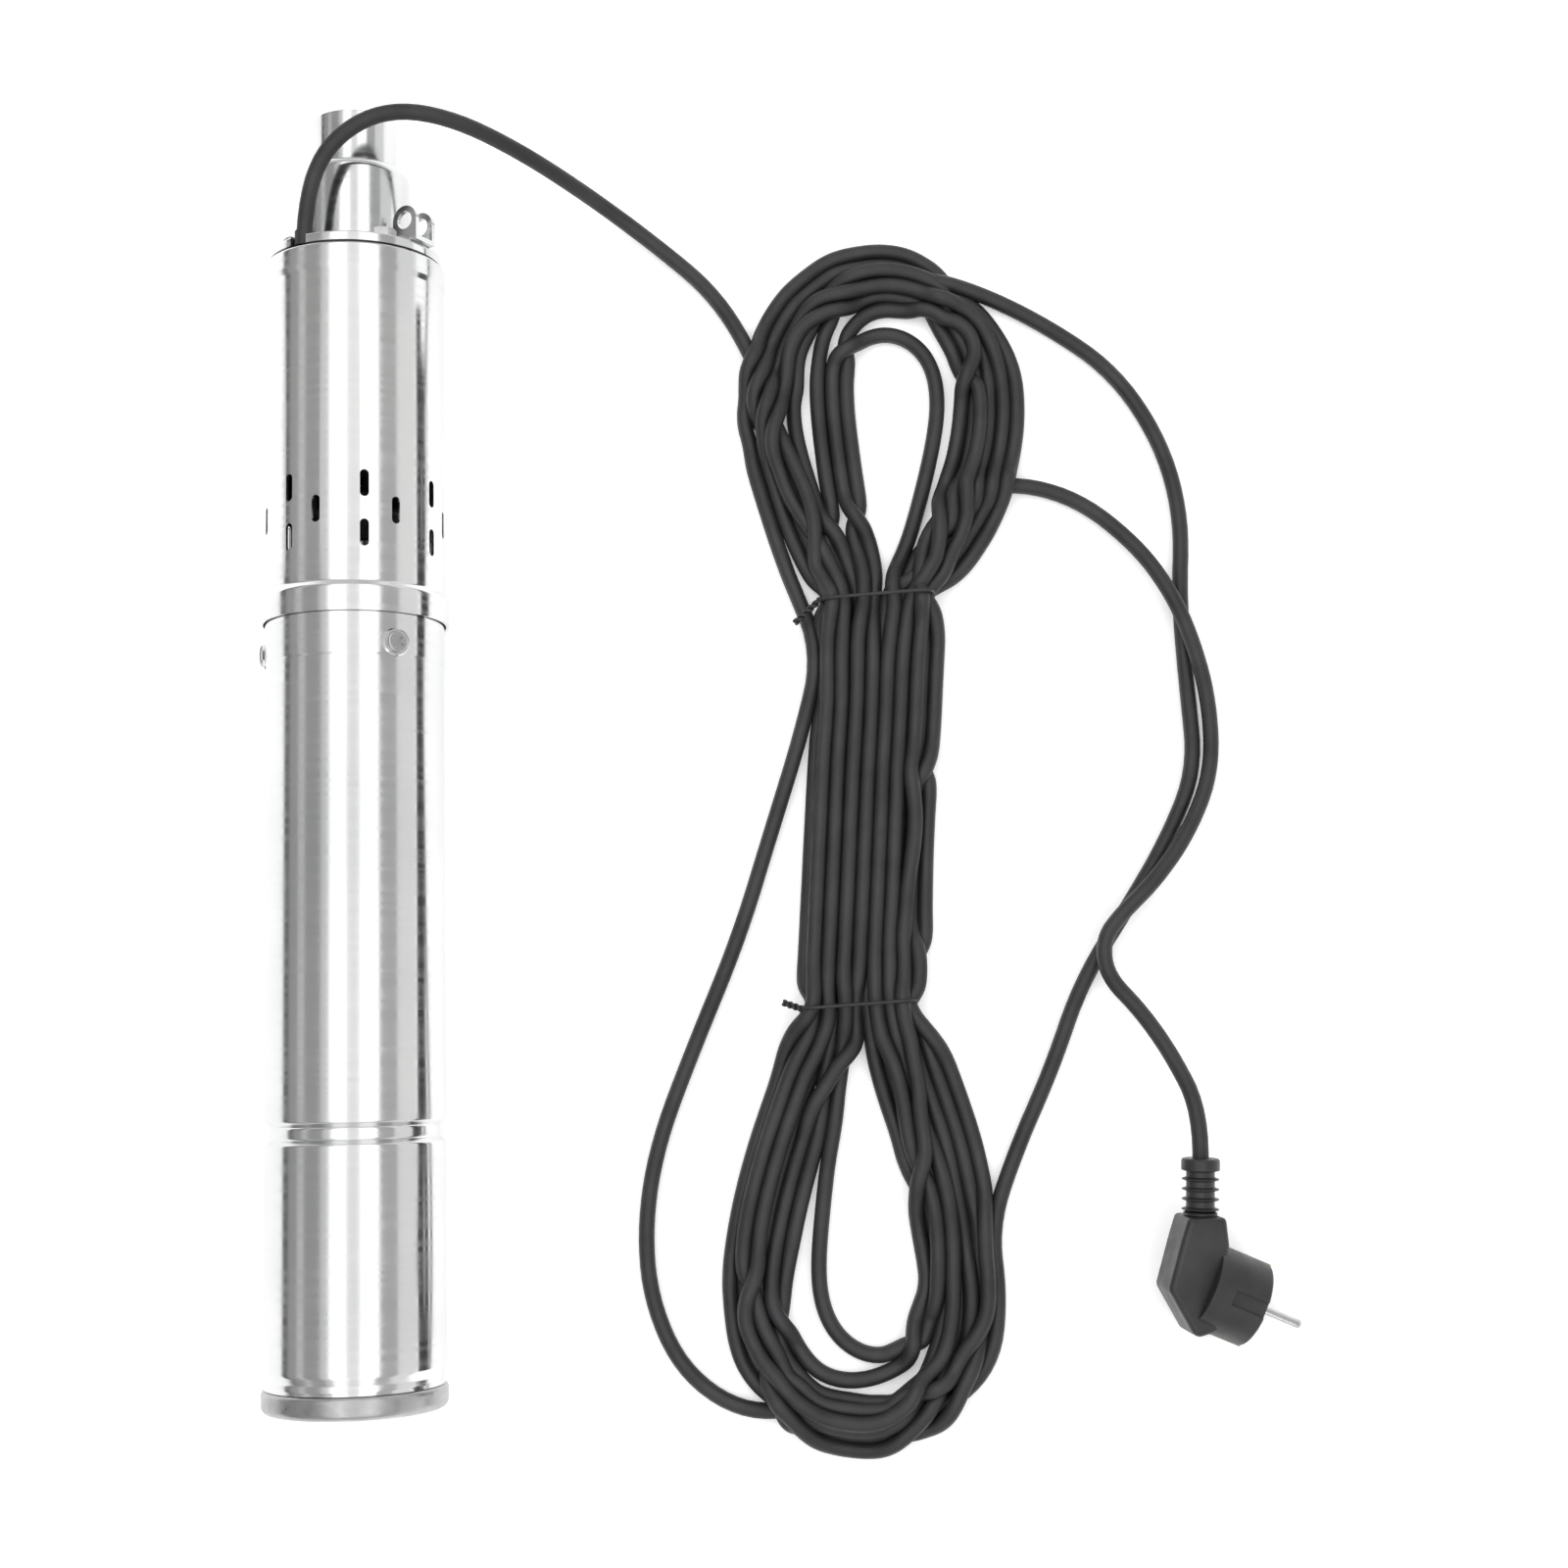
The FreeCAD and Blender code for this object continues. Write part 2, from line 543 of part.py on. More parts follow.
def screw_cavity(low, high):
    """The rotor's path through the stator: a stadium that twists at half the screw's rate."""
    half = 2 * ECCENTRICITY
    radius = SCREW_RADIUS + SCREW_CLEARANCE
    steps = math.ceil((high - low) / 3.3)
    wires = []
    for i in range(steps + 1):
        s = low + (high - low) * i / steps
        turn = 180.0 * (s - SCREW_BOTTOM) / SCREW_PITCH
        edges = [Part.LineSegment(V(-half, -radius, 0), V(half, -radius, 0)).toShape(),
                 Part.Arc(V(half, -radius, 0), V(half + radius, 0, 0), V(half, radius, 0)).toShape(),
                 Part.LineSegment(V(half, radius, 0), V(-half, radius, 0)).toShape(),
                 Part.Arc(V(-half, radius, 0), V(-half - radius, 0, 0), V(-half, -radius, 0)).toShape()]
        wire = Part.Wire(edges)
        wire.rotate(V(0, 0, 0), UP, turn)
        wire.translate(V(0, 0, s))
        wires.append(wire)
    return Part.makeLoft(wires, True, False)


def rubber_stator():
    blank = ring(0, STAGE_RADIUS - STAGE_WALL, STAGE_BOTTOM + 1, DISCHARGE_S + 3)
    return blank.cut(screw_cavity(STAGE_BOTTOM - 1, DISCHARGE_S + 5))


def stage_sleeve():
    return ring(STAGE_RADIUS - STAGE_WALL, STAGE_RADIUS, STAGE_BOTTOM, SLEEVE_TOP)


def intake_body():
    bore = PUMP_BORE - SLIP_CLEARANCE
    lower = COLLAR_BORE - SLIP_CLEARANCE
    body = turned([(16, INTAKE_S), (lower, INTAKE_S, 0.5), (lower, MOTOR_TOP + 0.5),
                   (bore, MOTOR_TOP + 0.5), (bore, INTAKE_TOP, 2), (20, INTAKE_TOP, 2),
                   (16, INTAKE_TOP - 5)])
    return body.cut(inner_cable_path(INTAKE_S - 1, INTAKE_TOP + 1, SLIP_CLEARANCE))


def inner_cable_path(low, high, extra=0.0):
    return peg(around(CABLE_AZIMUTH, CABLE_RING - CABLE_JOG, low), UP, CABLE_RADIUS + extra, high - low)


def inner_cable():
    """Cable inside the pump tube, from the motor's gland up to the discharge body."""
    return inner_cable_path(HOUSING_S, DISCHARGE_S + 4)


def discharge_body():
    """Ring in the top of the pump tube: the stage sleeve stands in it and the head is bolted to it."""
    bore = PUMP_BORE - SLIP_CLEARANCE
    throat = CHAMBER_RADIUS - 2.5
    body = turned([(STAGE_RADIUS, DISCHARGE_S), (bore, DISCHARGE_S, 1), (bore, DISCHARGE_TOP),
                   (throat, DISCHARGE_TOP), (throat, SLEEVE_TOP), (STAGE_RADIUS, SLEEVE_TOP)])
    holes = [peg(around(BOLT_AZIMUTH + 120 * i, BOLT_RING, DISCHARGE_S + 6), UP, BOLT_RADIUS, 30)
             for i in range(3)]
    lug_holes = [peg(around(LUG_AZIMUTH + 180 * i, LUG_SCREW_RING, DISCHARGE_TOP - 6), UP,
                     LUG_SCREW_RADIUS, 30) for i in range(2)]
    cable = inner_cable_path(DISCHARGE_S - 1, DISCHARGE_S + 4)
    upper = peg(around(CABLE_AZIMUTH, CABLE_RING - 1.0, DISCHARGE_S + 3.9), UP, CABLE_RADIUS + 1.9, 30)
    return cut_all(body, holes + lug_holes + [cable, upper])


# ---------------------------------------------------------------- pump tube and head
def slot_cut(azimuth, s):
    """One round-ended slot through the wall of the pump tube."""
    half = (SLOT_LENGTH - SLOT_WIDTH) / 2
    outward = around(azimuth, 1)
    foot = around(azimuth, PUMP_BORE - 4)
    parts = [peg(foot + V(0, 0, s + k * half), outward, SLOT_WIDTH / 2, 10) for k in (-1, 1)]
    box = Part.makeBox(SLOT_WIDTH, 10, 2 * half, V(-SLOT_WIDTH / 2, -PUMP_BORE - 6, s - half))
    box.rotate(V(0, 0, 0), UP, azimuth)
    return parts[0].multiFuse([parts[1], box])


def pump_tube():
    r, wall = PUMP_RADIUS, TUBE_WALL
    outside = [(BELT_RADIUS, BELT_S), (BELT_RADIUS, BELT_TOP, 2.0), (r, BELT_TOP + 2.4, 1.5),
               (r, BEAD_S, 0.6), (BEAD_RADIUS, BEAD_S + 2.4, 1.4),
               (BEAD_RADIUS, PUMP_TOP, 1.1)]
    inside = [(BEAD_RADIUS - 2.0, PUMP_TOP), (BEAD_RADIUS - wall, BEAD_S + 2.4, 1.0),
              (r - wall, BEAD_S, 0.6), (r - wall, BELT_TOP + 2.4, 1.5),
              (BELT_RADIUS - wall, BELT_TOP, 2.0), (BELT_RADIUS - wall, BELT_S)]
    tube = turned(outside + inside)
    slots = []
    for i in range(SLOT_COLUMNS):
        azimuth = SLOT_AZIMUTH + 360.0 * i / SLOT_COLUMNS
        slots += [slot_cut(azimuth, SLOT_MIDDLE_S + k * SLOT_ROW_STEP) for k in (-1, 1)]
        slots.append(slot_cut(azimuth + SLOT_STAGGER, SLOT_MIDDLE_S))
    return cut_all(tube, slots)


def notch(low, high, extra=0.0):
    """Cable notch, open at the rim of the plate."""
    half = NOTCH_WIDTH / 2 + extra
    box = Part.makeBox(2 * half, 20, high - low, V(-half, -CABLE_RING - 20, low))
    box.rotate(V(0, 0, 0), UP, CABLE_AZIMUTH)
    return box.fuse(peg(around(CABLE_AZIMUTH, CABLE_RING, low), UP, half, high - low))


def plate_holes(low, high):
    bolts = [peg(around(BOLT_AZIMUTH + 120 * i, BOLT_RING, low), UP, BOLT_RADIUS + SLIP_CLEARANCE,
                 high - low) for i in range(3)]
    lugs = [peg(around(LUG_AZIMUTH + 180 * i, LUG_SCREW_RING, low), UP,
                LUG_SCREW_RADIUS + SLIP_CLEARANCE, high - low) for i in range(2)]
    return bolts + lugs


def head_plate():
    bore = NECK_RADIUS + RUN_CLEARANCE
    body = turned([(bore, PLATE_S), (PLATE_RADIUS, PLATE_S), (PLATE_RADIUS, PLATE_TOP, 0.8),
                   (bore, PLATE_TOP)])
    return cut_all(body, plate_holes(PLATE_S - 1, PLATE_TOP + 1) + [notch(PLATE_S - 1, PLATE_TOP + 1)])


def head_gasket():
    low = PUMP_TOP + TOUCH_GAP
    body = ring(FLANGE_RADIUS + FREE_CLEARANCE, PLATE_RADIUS - 0.8, low, PLATE_S)
    return cut_all(body, plate_holes(low - 1, low + 3) + [notch(low - 1, low + 3)])


def head_bolts():
    """Hexagon bolts with chamfered heads."""
    corner = BOLT_HEAD_AF / math.sqrt(3)
    chamfer = 0.7
    turns = [math.radians(60 * k) for k in range(7)]
    hexagon = Part.makePolygon([V(corner * math.cos(a), corner * math.sin(a), 0) for a in turns])
    head = Part.Face(hexagon).extrude(V(0, 0, BOLT_HEAD_HEIGHT))
    crown = Part.makeCone(corner + BOLT_HEAD_HEIGHT - chamfer, corner - chamfer, BOLT_HEAD_HEIGHT)
    bolts = []
    for i in range(3):
        foot = around(BOLT_AZIMUTH + 120 * i, BOLT_RING, PLATE_TOP)
        top = head.common(crown)
        top.translate(foot)
        bolts.append(top.fuse(peg(foot, V(0, 0, -1), BOLT_RADIUS, PLATE_TOP - DISCHARGE_S - 7)))
    return Part.makeCompound(bolts)


def outlet_body():
    """Flange under the head plate, wide neck, rounded shoulder and threaded nozzle."""
    low, thread_end = DISCHARGE_TOP + TOUCH_GAP, TOTAL_LENGTH - THREAD_DEPTH
    shoulder = min(SHOULDER, NECK_RADIUS - NOZZLE_RADIUS - TOUCH_GAP)
    return turned([(CHAMBER_RADIUS, low), (FLANGE_RADIUS, low), (FLANGE_RADIUS, PLATE_S),
                   (NECK_RADIUS, PLATE_S), (NECK_RADIUS, SHOULDER_TOP, shoulder),
                   (NOZZLE_RADIUS, SHOULDER_TOP), (NOZZLE_RADIUS, TOTAL_LENGTH, 0.6),
                   (THREAD_RADIUS, TOTAL_LENGTH), (THREAD_RADIUS, thread_end),
                   (THROAT_RADIUS, thread_end), (THROAT_RADIUS, GUIDE_TOP),
                   (CHAMBER_RADIUS, GUIDE_TOP)])


def lug_shape(azimuth):
    """Rope lug: a strip bent into a U, with two round-topped ears in radial planes."""
    half = LUG_WIDTH / 2
    top = LUG_HOLE_HEIGHT
    ear = Part.makeBox(LUG_WIDTH, LUG_THICK, top, V(-half, 0, 0))
    ear = ear.fuse(Part.makeCylinder(half, LUG_THICK, V(0, 0, top), V(0, 1, 0)))
    ear = ear.cut(Part.makeCylinder(LUG_HOLE, LUG_THICK + 2, V(0, -1, top), V(0, 1, 0)))
    far = ear.copy()
    ear.translate(V(0, -LUG_SPAN / 2, 0))
    far.translate(V(0, LUG_SPAN / 2 - LUG_THICK, 0))
    base = Part.makeBox(LUG_WIDTH, LUG_SPAN, LUG_THICK, V(-half, -LUG_SPAN / 2, 0))
    lug = base.multiFuse([ear, far]).removeSplitter()
    screw_hole = Part.makeCylinder(LUG_SCREW_RADIUS + SLIP_CLEARANCE, 6, V(-LUG_SCREW_INSET, 0, -1))
    lug = lug.cut(screw_hole)
    lug.rotate(V(0, 0, 0), UP, azimuth - 90)
    lug.translate(around(azimuth, LUG_RING, PLATE_TOP))
    return lug


def lug_screws():
    screws = []
    for i in range(2):
        foot = around(LUG_AZIMUTH + 180 * i, LUG_SCREW_RING, PLATE_TOP + LUG_THICK)
        cross = cross_recess(4.4, 0.9, 1.2)
        cross.translate(foot)
        shank = peg(foot, V(0, 0, -1), LUG_SCREW_RADIUS, LUG_THICK + PLATE_TOP - DISCHARGE_TOP + 5)
        screws.append(peg(foot, UP, 4.0, 2.4).cut(cross).fuse(shank))
    return Part.makeCompound(screws)


def cross_recess(span, width, floor):
    """A cross that is cut into a screw's head, down to the height of its floor."""
    deep = 2.0
    return Part.makeCompound([Part.makeBox(span, width, deep, V(-span / 2, -width / 2, floor)),
                              Part.makeBox(width, span, deep, V(-width / 2, -span / 2, floor))])


def side_screw_parts():
    """Cross-head side screws and the dished washers under their heads."""
    washer_top, head_top = 1.1, 2.6
    screws, washers = [], []
    for i in range(3):
        azimuth = SIDE_SCREW_AZIMUTH + 120 * i
        washer = Part.makeCone(6.4, 5.4, washer_top)
        washer = washer.cut(Part.makeCylinder(SIDE_SCREW_RADIUS + SLIP_CLEARANCE, 3, V(0, 0, -1)))
        head = Part.makeCylinder(4.6, head_top - washer_top, V(0, 0, washer_top))
        head = head.makeFillet(0.9, [e for e in head.Edges if e.BoundBox.ZMin > head_top - 0.1])
        shank = Part.makeCylinder(SIDE_SCREW_RADIUS, SIDE_SCREW_LENGTH + washer_top,
                                  V(0, 0, -SIDE_SCREW_LENGTH))
        screw = head.cut(cross_recess(5.0, 1.0, 1.7)).fuse(shank)
        turn = FreeCAD.Placement(around(azimuth, COLLAR_RADIUS - 0.6, SCREW_S),
                                 FreeCAD.Rotation(UP, around(azimuth, 1)))
        washer.Placement = turn
        screw.Placement = turn
        washers.append(washer.cut(Part.makeCylinder(COLLAR_RADIUS, 40, V(0, 0, SCREW_S - 20))))
        screws.append(screw)
    return Part.makeCompound(screws), Part.makeCompound(washers)


def cable_grommet():
    low, high = PLATE_S + TOUCH_GAP, PLATE_TOP + GROMMET_STAND
    sleeve = peg(around(CABLE_AZIMUTH, CABLE_RING, low), UP, NOTCH_WIDTH / 2 - RUN_CLEARANCE, high - low)
    return sleeve.cut(peg(around(CABLE_AZIMUTH, CABLE_RING, low - 1), UP, CABLE_RADIUS, high - low + 2))


# ---------------------------------------------------------------- check valve in the outlet
def valve_seat():
    outer = CHAMBER_RADIUS - RUN_CLEARANCE
    bore, top = POPPET_RADIUS - 4, SEAT_S + VALVE_SEAT_HEIGHT
    return turned([(bore, SEAT_S), (outer, SEAT_S), (outer, top), (bore + 2, top), (bore, top - 2)])


def valve_guide():
    """Disc with four windows, and a boss that the poppet's stem slides in."""
    outer = CHAMBER_RADIUS - RUN_CLEARANCE
    low = GUIDE_TOP - GUIDE_THICK
    disc = ring(STEM_RADIUS + RUN_CLEARANCE, outer, low, GUIDE_TOP)
    boss = ring(STEM_RADIUS + RUN_CLEARANCE, GUIDE_BOSS, low, GUIDE_TOP + 5)
    inner, rim = GUIDE_BOSS + 0.5, CHAMBER_RADIUS - 3.1
    window = Part.makeCylinder((rim - inner) / 2, GUIDE_THICK + 3, V((rim + inner) / 2, 0, low - 1))
    return cut_all(disc.fuse(boss), repeated(window, 4))


def valve_poppet():
    back, stem_top = POPPET_S + 4.5, NECK_TOP + 6
    return turned([(0, POPPET_S), (POPPET_RADIUS, POPPET_S, 0.5), (POPPET_RADIUS, POPPET_S + 3, 1),
                   (2 * STEM_RADIUS, back), (STEM_RADIUS, back), (STEM_RADIUS, stem_top, 0.6),
                   (0, stem_top)])


def valve_spring():
    """Coil round the stem, between the back of the poppet and the guide."""
    low = POPPET_S + 4.5 + 0.8
    high = GUIDE_TOP - GUIDE_THICK - 0.8
    helix = Part.makeHelix((high - low) / SPRING_TURNS, high - low, SPRING_RADIUS)
    helix.translate(V(0, 0, low))
    section = Part.Wire(Part.makeCircle(SPRING_WIRE, V(SPRING_RADIUS, 0, low), V(0, 1, 0)))
    return Part.Wire(helix.Edges).makePipeShell([section], True, True)


# ---------------------------------------------------------------- cable, in the part's own frame
def exit_point():
    """Where the cable leaves its grommet, and the same for the whole lead."""
    p = around(CABLE_AZIMUTH, CABLE_RING, PLATE_TOP + GROMMET_STAND)
    return V(p.x, p.z + ROW_SHIFT, AXIS_HEIGHT - p.y)


def plug_frame():
    """Where the plug lies: its own +X is the way its pins point."""
    turn = FreeCAD.Rotation(UP, PLUG_TURN).multiply(FreeCAD.Rotation(V(0, 1, 0), PLUG_TILT))
    return FreeCAD.Placement(PLUG_FACE, turn)


def plug_place(shape):
    placed = shape.copy()
    placed.Placement = plug_frame().multiply(placed.Placement)
    return placed


def plug_point(local):
    return plug_frame().multVec(local)


# The lead rises from the grommet, passes over the outlet and comes down to the floor.
LEAD_ROUTE = [
    (-14.5, 237, 71), (-2, 256, 76.5), (20, 267.5, 77), (46, 267, 68), (74, 260, 45), (103, 248, 19),
    (131, 230, 5), (156, 208, 3.6), (173, 178, 3.6), (178, 156, 5), (188, 131, 10), (199, 104, 13),
]
# The loose right side of the largest turn, from the hank's top round to its foot.
RIGHT_LOOP_ROUTE = [
    (252, 211, 10), (276, 205, 5), (305, 190, 3.6), (335, 168, 3.6), (355, 135, 3.6), (363, 100, 3.6),
    (360, 62, 3.6), (362, 20, 3.6), (364, -14, 3.6), (350, -45, 3.6), (333, -72, 3.6),
    (310, -106, 3.6), (296, -143, 3.6), (279, -178, 3.6), (267, -210, 3.6), (270, -240, 3.6),
    (266, -268, 3.6), (246, -286, 3.6), (218, -292, 3.6),
]
# The loose left side of the same turn, from the hank's foot up to its waist.
LEFT_LOOP_ROUTE = [
    (186, -285, 3.6), (158, -286, 3.6), (133, -268, 3.6), (120, -238, 3.6), (118, -206, 3.6),
    (124, -172, 3.6),
    (140, -132, 3.6), (161, -84, 3.6), (176, -38, 3.6), (190, 4, 3.6), (200, 42, 5),
]
# The tail leaves the hank at its upper tie and crosses the right loop twice, lying on top of it.
TAIL_ROUTE = [
    (244, 70, 12), (247, 92, 9), (262, 110, 4), (286, 118, 3.6), (316, 110, 3.6), (341, 88, 6),
    (355, 65, 12), (364, 42, 12), (371, 16, 6), (371, -15, 6), (359, -42, 9), (343, -63, 12.5),
    (328, -77, 12.5), (319, -88, 12.5), (320, -104, 12), (334, -119, 11.5), (346, -138, 15),
]


def tube(points, radius, name):
    """A round cord along straight runs joined by tangent arcs, as large as the runs allow."""
    stations = [V(*p) for p in points]
    edges = []
    leave = stations[0]
    radii = []
    for before, here, after in zip(stations, stations[1:], stations[2:]):
        back = (before - here).normalize()
        ahead = (after - here).normalize()
        half_turn = (math.pi - back.getAngle(ahead)) / 2
        reach = 0.45 * min(here.distanceToPoint(before), here.distanceToPoint(after))
        bend = reach / math.tan(half_turn)
        radii.append(round(bend))
        inward = (back + ahead).normalize()
        through = here + inward * (bend / math.cos(half_turn) - bend)
        start, end = here + back * reach, here + ahead * reach
        edges.append(Part.LineSegment(leave, start).toShape())
        edges.append(Part.Arc(start, through, end).toShape())
        leave = end
    edges.append(Part.LineSegment(leave, stations[-1]).toShape())
    path = Part.Wire(edges)
    section = Part.Wire(Part.makeCircle(radius, stations[0], stations[1] - stations[0]))
    cord = path.makePipeShell([section], True, False)
    wanted = math.pi * radius ** 2 * path.Length
    print(name, "length %.0f" % path.Length, "volume ratio %.3f" % (cord.Volume / wanted),
          "radii", radii, "lowest %.2f" % cord.BoundBox.ZMin)
    return cord


def cable_lead():
    start = exit_point()
    return tube([tuple(start)] + LEAD_ROUTE, CABLE_RADIUS, "lead")


def cable_tail():
    end = plug_point(RELIEF_TOP)
    along = (plug_point(RELIEF_TOP) - plug_point(RELIEF_FOOT)).normalize()
    return tube(TAIL_ROUTE + [tuple(end + along * 20), tuple(end)], CABLE_RADIUS, "tail")


HANK_OUTLINE = [
    (197, 215, 40), (172, 175, 60), (186, 115, 60), (201, 62, 200), (193, -30, 200), (187, -110, 120),
    (158, -220, 60), (168, -290, 50), (212, -308, 40), (258, -290, 50), (263, -225, 60),
    (240, -115, 120), (246, -20, 200), (251, 66, 200), (262, 120, 60), (286, 180, 50),
    (270, 220, 34), (232, 228, 50),
]
UPPER_HOLE = [(228, 176, 8), (222, 130, 6), (236, 118, 6), (246, 150, 8), (244, 182, 8)]
LOWER_HOLE = [(218, -166, 6), (194, -214, 14), (206, -262, 14), (234, -258, 14), (241, -214, 14)]
# Each tie's place on the hank, the width it closes on, its lean and the length of its twisted ends.
TIE_PLACES = {
    "twist_tie_upper": (226, 65, 50.0, 3.0, 16.0),
    "twist_tie_lower": (213.5, -114, 53.0, 2.0, 9.0),
}


def lengthwise(shape, radius):
    """Rounds the edges of an upright box that run along the hank."""
    return shape.makeFillet(radius, [e for e in shape.Edges
                                     if abs(e.tangentAt(e.FirstParameter).y) > 0.9])


def tie_core(width, length, sunk):
    """What a tie closes on: the waist of the hank, drawn in by the depth of the wire."""
    core = Part.makeBox(width - 2 * sunk, length, HANK_HEIGHT - 0.1 - 2 * sunk,
                        V(-width / 2 + sunk, -length / 2, 0.1 + sunk))
    return lengthwise(core, 7.0 - sunk)


def at_waist(shape, place):
    x, y, _, lean, _ = place
    shape.rotate(V(0, 0, 0), UP, lean)
    shape.translate(V(x, y, 0))
    return shape


def tie_groove(place):
    """Groove all round the hank that a tie lies in."""
    thick = TIE_WIRE + 2 * TIE_GAP
    slab = Part.makeBox(2 * place[2], thick, 2 * HANK_HEIGHT, V(-place[2], -thick / 2, -HANK_HEIGHT / 2))
    return at_waist(slab.cut(tie_core(place[2], 4 * thick, TIE_WIRE + TIE_GAP)), place)


def twist_tie(place):
    """A wire loop round the hank with its two ends twisted together at the left side."""
    width = place[2]
    band = tie_core(width, TIE_WIRE, 0.0).cut(tie_core(width, 4 * TIE_WIRE, TIE_WIRE))
    outside = V(-width / 2 - TIE_STANDOFF, 0, HANK_HEIGHT / 2)
    neck = peg(outside, V(1, 0, 0), 0.8, TIE_STANDOFF + TIE_WIRE / 2)
    ends = peg(outside + V(0, 1, 0), V(0, -1, 0), 1.4, place[4])
    return at_waist(band.multiFuse([neck, ends]), place)


def cable_hank():
    body = plate(HANK_OUTLINE, 0.0, HANK_HEIGHT)
    holes = [plate(UPPER_HOLE, -1, HANK_HEIGHT + 1), plate(LOWER_HOLE, -1, HANK_HEIGHT + 1)]
    return cut_all(body, holes + [tie_groove(place) for place in TIE_PLACES.values()])


# ---------------------------------------------------------------- plug
def plug_body():
    barrel = Part.makeCylinder(PLUG_RADIUS, PLUG_DEPTH, V(0, 0, 0), V(-1, 0, 0))
    barrel = barrel.makeFillet(1.6, [e for e in barrel.Edges if abs(e.BoundBox.XMax) < 1e-6
                                     and abs(e.BoundBox.XMin) < 1e-6])
    grip = plate([(-PLUG_DEPTH + 1.5, 19.0, 1), (-28.2, 29.2, 2), (-43.2, 22.9, 2), (-42.4, 13.6, 3),
                  (-39.8, -7.8, 4), (-21.5, -22.0, 4), (-14.0, -16.0, 2)], -GRIP_HALF, GRIP_HALF)
    grip = grip.makeFillet(2.5, [e for e in grip.Edges
                                 if abs(abs(e.CenterOfMass.z) - GRIP_HALF) < 1e-6])
    guides = [Part.makeBox(18, 6.6, 4, V(-15.5, -3.3, z)) for z in (16.0, -20.0)]
    pins = [peg(V(-12, 0, z), V(1, 0, 0), PIN_ROOT_RADIUS, 14) for z in (PIN_SPREAD / 2, -PIN_SPREAD / 2)]
    earth = both_sides(Part.makeBox(17, 4.2, 1.4, V(-16, -2.1, PLUG_RADIUS - 1.2)))
    socket = peg(V(-6, -8.5, 0), V(1, 0, 0), 2.6, 8)
    return cut_all(barrel.fuse(grip).removeSplitter(), guides + pins + earth + [socket])


def both_sides(shape):
    """Two copies of a piece drawn on top of the plug, turned to its left and right sides."""
    copies = []
    for turn in (90, -90):
        copy = shape.copy()
        copy.rotate(V(0, 0, 0), V(1, 0, 0), turn)
        copies.append(copy)
    return copies


def plug_pins():
    pins = []
    for z in (PIN_SPREAD / 2, -PIN_SPREAD / 2):
        root = peg(V(-11.9, 0, z), V(1, 0, 0), PIN_ROOT_RADIUS, 12)
        pin = peg(V(PIN_FOOT, 0, z), V(1, 0, 0), PIN_RADIUS, PIN_LENGTH - PIN_RADIUS - PIN_FOOT)
        tip = Part.makeSphere(PIN_RADIUS, V(PIN_LENGTH - PIN_RADIUS, 0, z))
        pins.append(root.multiFuse([pin, tip]))
    return Part.makeCompound(pins)


def earth_contacts():
    return Part.makeCompound(both_sides(Part.makeBox(16, 4.0, 1.1, V(-15.8, -2.0, PLUG_RADIUS - 1.15))))


def plug_strain_relief():
    """Ribbed sleeve with a plain collar where the cable enters it."""
    along = RELIEF_TOP - RELIEF_FOOT
    length = along.Length
    core = CABLE_RADIUS + RELIEF_WALL
    collar, rib, foot = core + RELIEF_RIB - 0.3, core + RELIEF_RIB, core + 1.2
    corners = [(CABLE_RADIUS, 0.2), (foot, 0.2), (foot, 1.2)]
    for i in range(4):
        s = 2.6 + 4.2 * i
        corners += [(core, s - 0.9), (rib, s, 0.3), (core, s + 0.9)]
    corners += [(core, length - 5.6), (collar, length - 5.0, 0.4), (collar, length, 1.2),
                (CABLE_RADIUS, length)]
    sleeve = turned(corners).fuse(ring(0, CABLE_RADIUS, 0.2, length))
    sleeve.Placement = FreeCAD.Placement(RELIEF_FOOT, FreeCAD.Rotation(UP, along))
    return sleeve


# ---------------------------------------------------------------- the whole part
def pump_pieces():
    lower = bearing(LOWER_BEARING, GROOVE_S)
    upper = bearing(UPPER_BEARING, UPPER_BEARING_S)
    screws, washers = side_screw_parts()
    return {
        "base_ring": seat_for_oil_plug(base_ring()), "oil_plug": oil_plug(), "base_o_ring": base_o_ring(),
        "diaphragm": diaphragm(), "capacitor": capacitor(), "capacitor_clip": capacitor_clip(),
        "motor_tube": motor_tube(),
        "lower_bearing_housing": lower_bearing_housing(),
        "lower_outer_race": lower[0], "lower_inner_race": lower[2],
        "upper_bearing_housing": upper_bearing_housing(), "housing_o_ring": housing_o_ring(),
        "upper_outer_race": upper[0], "upper_inner_race": upper[2],
        "bearing_balls": Part.makeCompound(lower[1] + upper[1]),
        "stator_core": stator_core(), "windings": windings(), "thermal_protector": thermal_protector(),
        "lead_wires": lead_wires(), "motor_shaft": motor_shaft(), "rotor_core": rotor_core(),
        "rotor_end_rings": rotor_end_rings(), "seal_seat": seal_seat(), "seal_ring": seal_ring(),
        "sand_slinger": sand_slinger(), "coupling_socket": coupling_socket(),
        "connecting_rod": connecting_rod(), "coupling_boot": coupling_boot(),
        "screw_rotor": screw_rotor(), "rubber_stator": rubber_stator(), "stage_sleeve": stage_sleeve(),
        "intake_body": intake_body(), "inner_cable": inner_cable(), "discharge_body": discharge_body(),
        "pump_tube": pump_tube(), "head_gasket": head_gasket(), "head_plate": head_plate(),
        "head_bolts": head_bolts(), "outlet_body": outlet_body(),
        "rope_lug_right": lug_shape(LUG_AZIMUTH), "rope_lug_left": lug_shape(LUG_AZIMUTH + 180),
        "lug_screws": lug_screws(), "side_screws": screws, "side_washers": washers,
        "cable_grommet": cable_grommet(), "valve_seat": valve_seat(), "valve_guide": valve_guide(),
        "valve_poppet": valve_poppet(), "valve_spring": valve_spring(),
    }


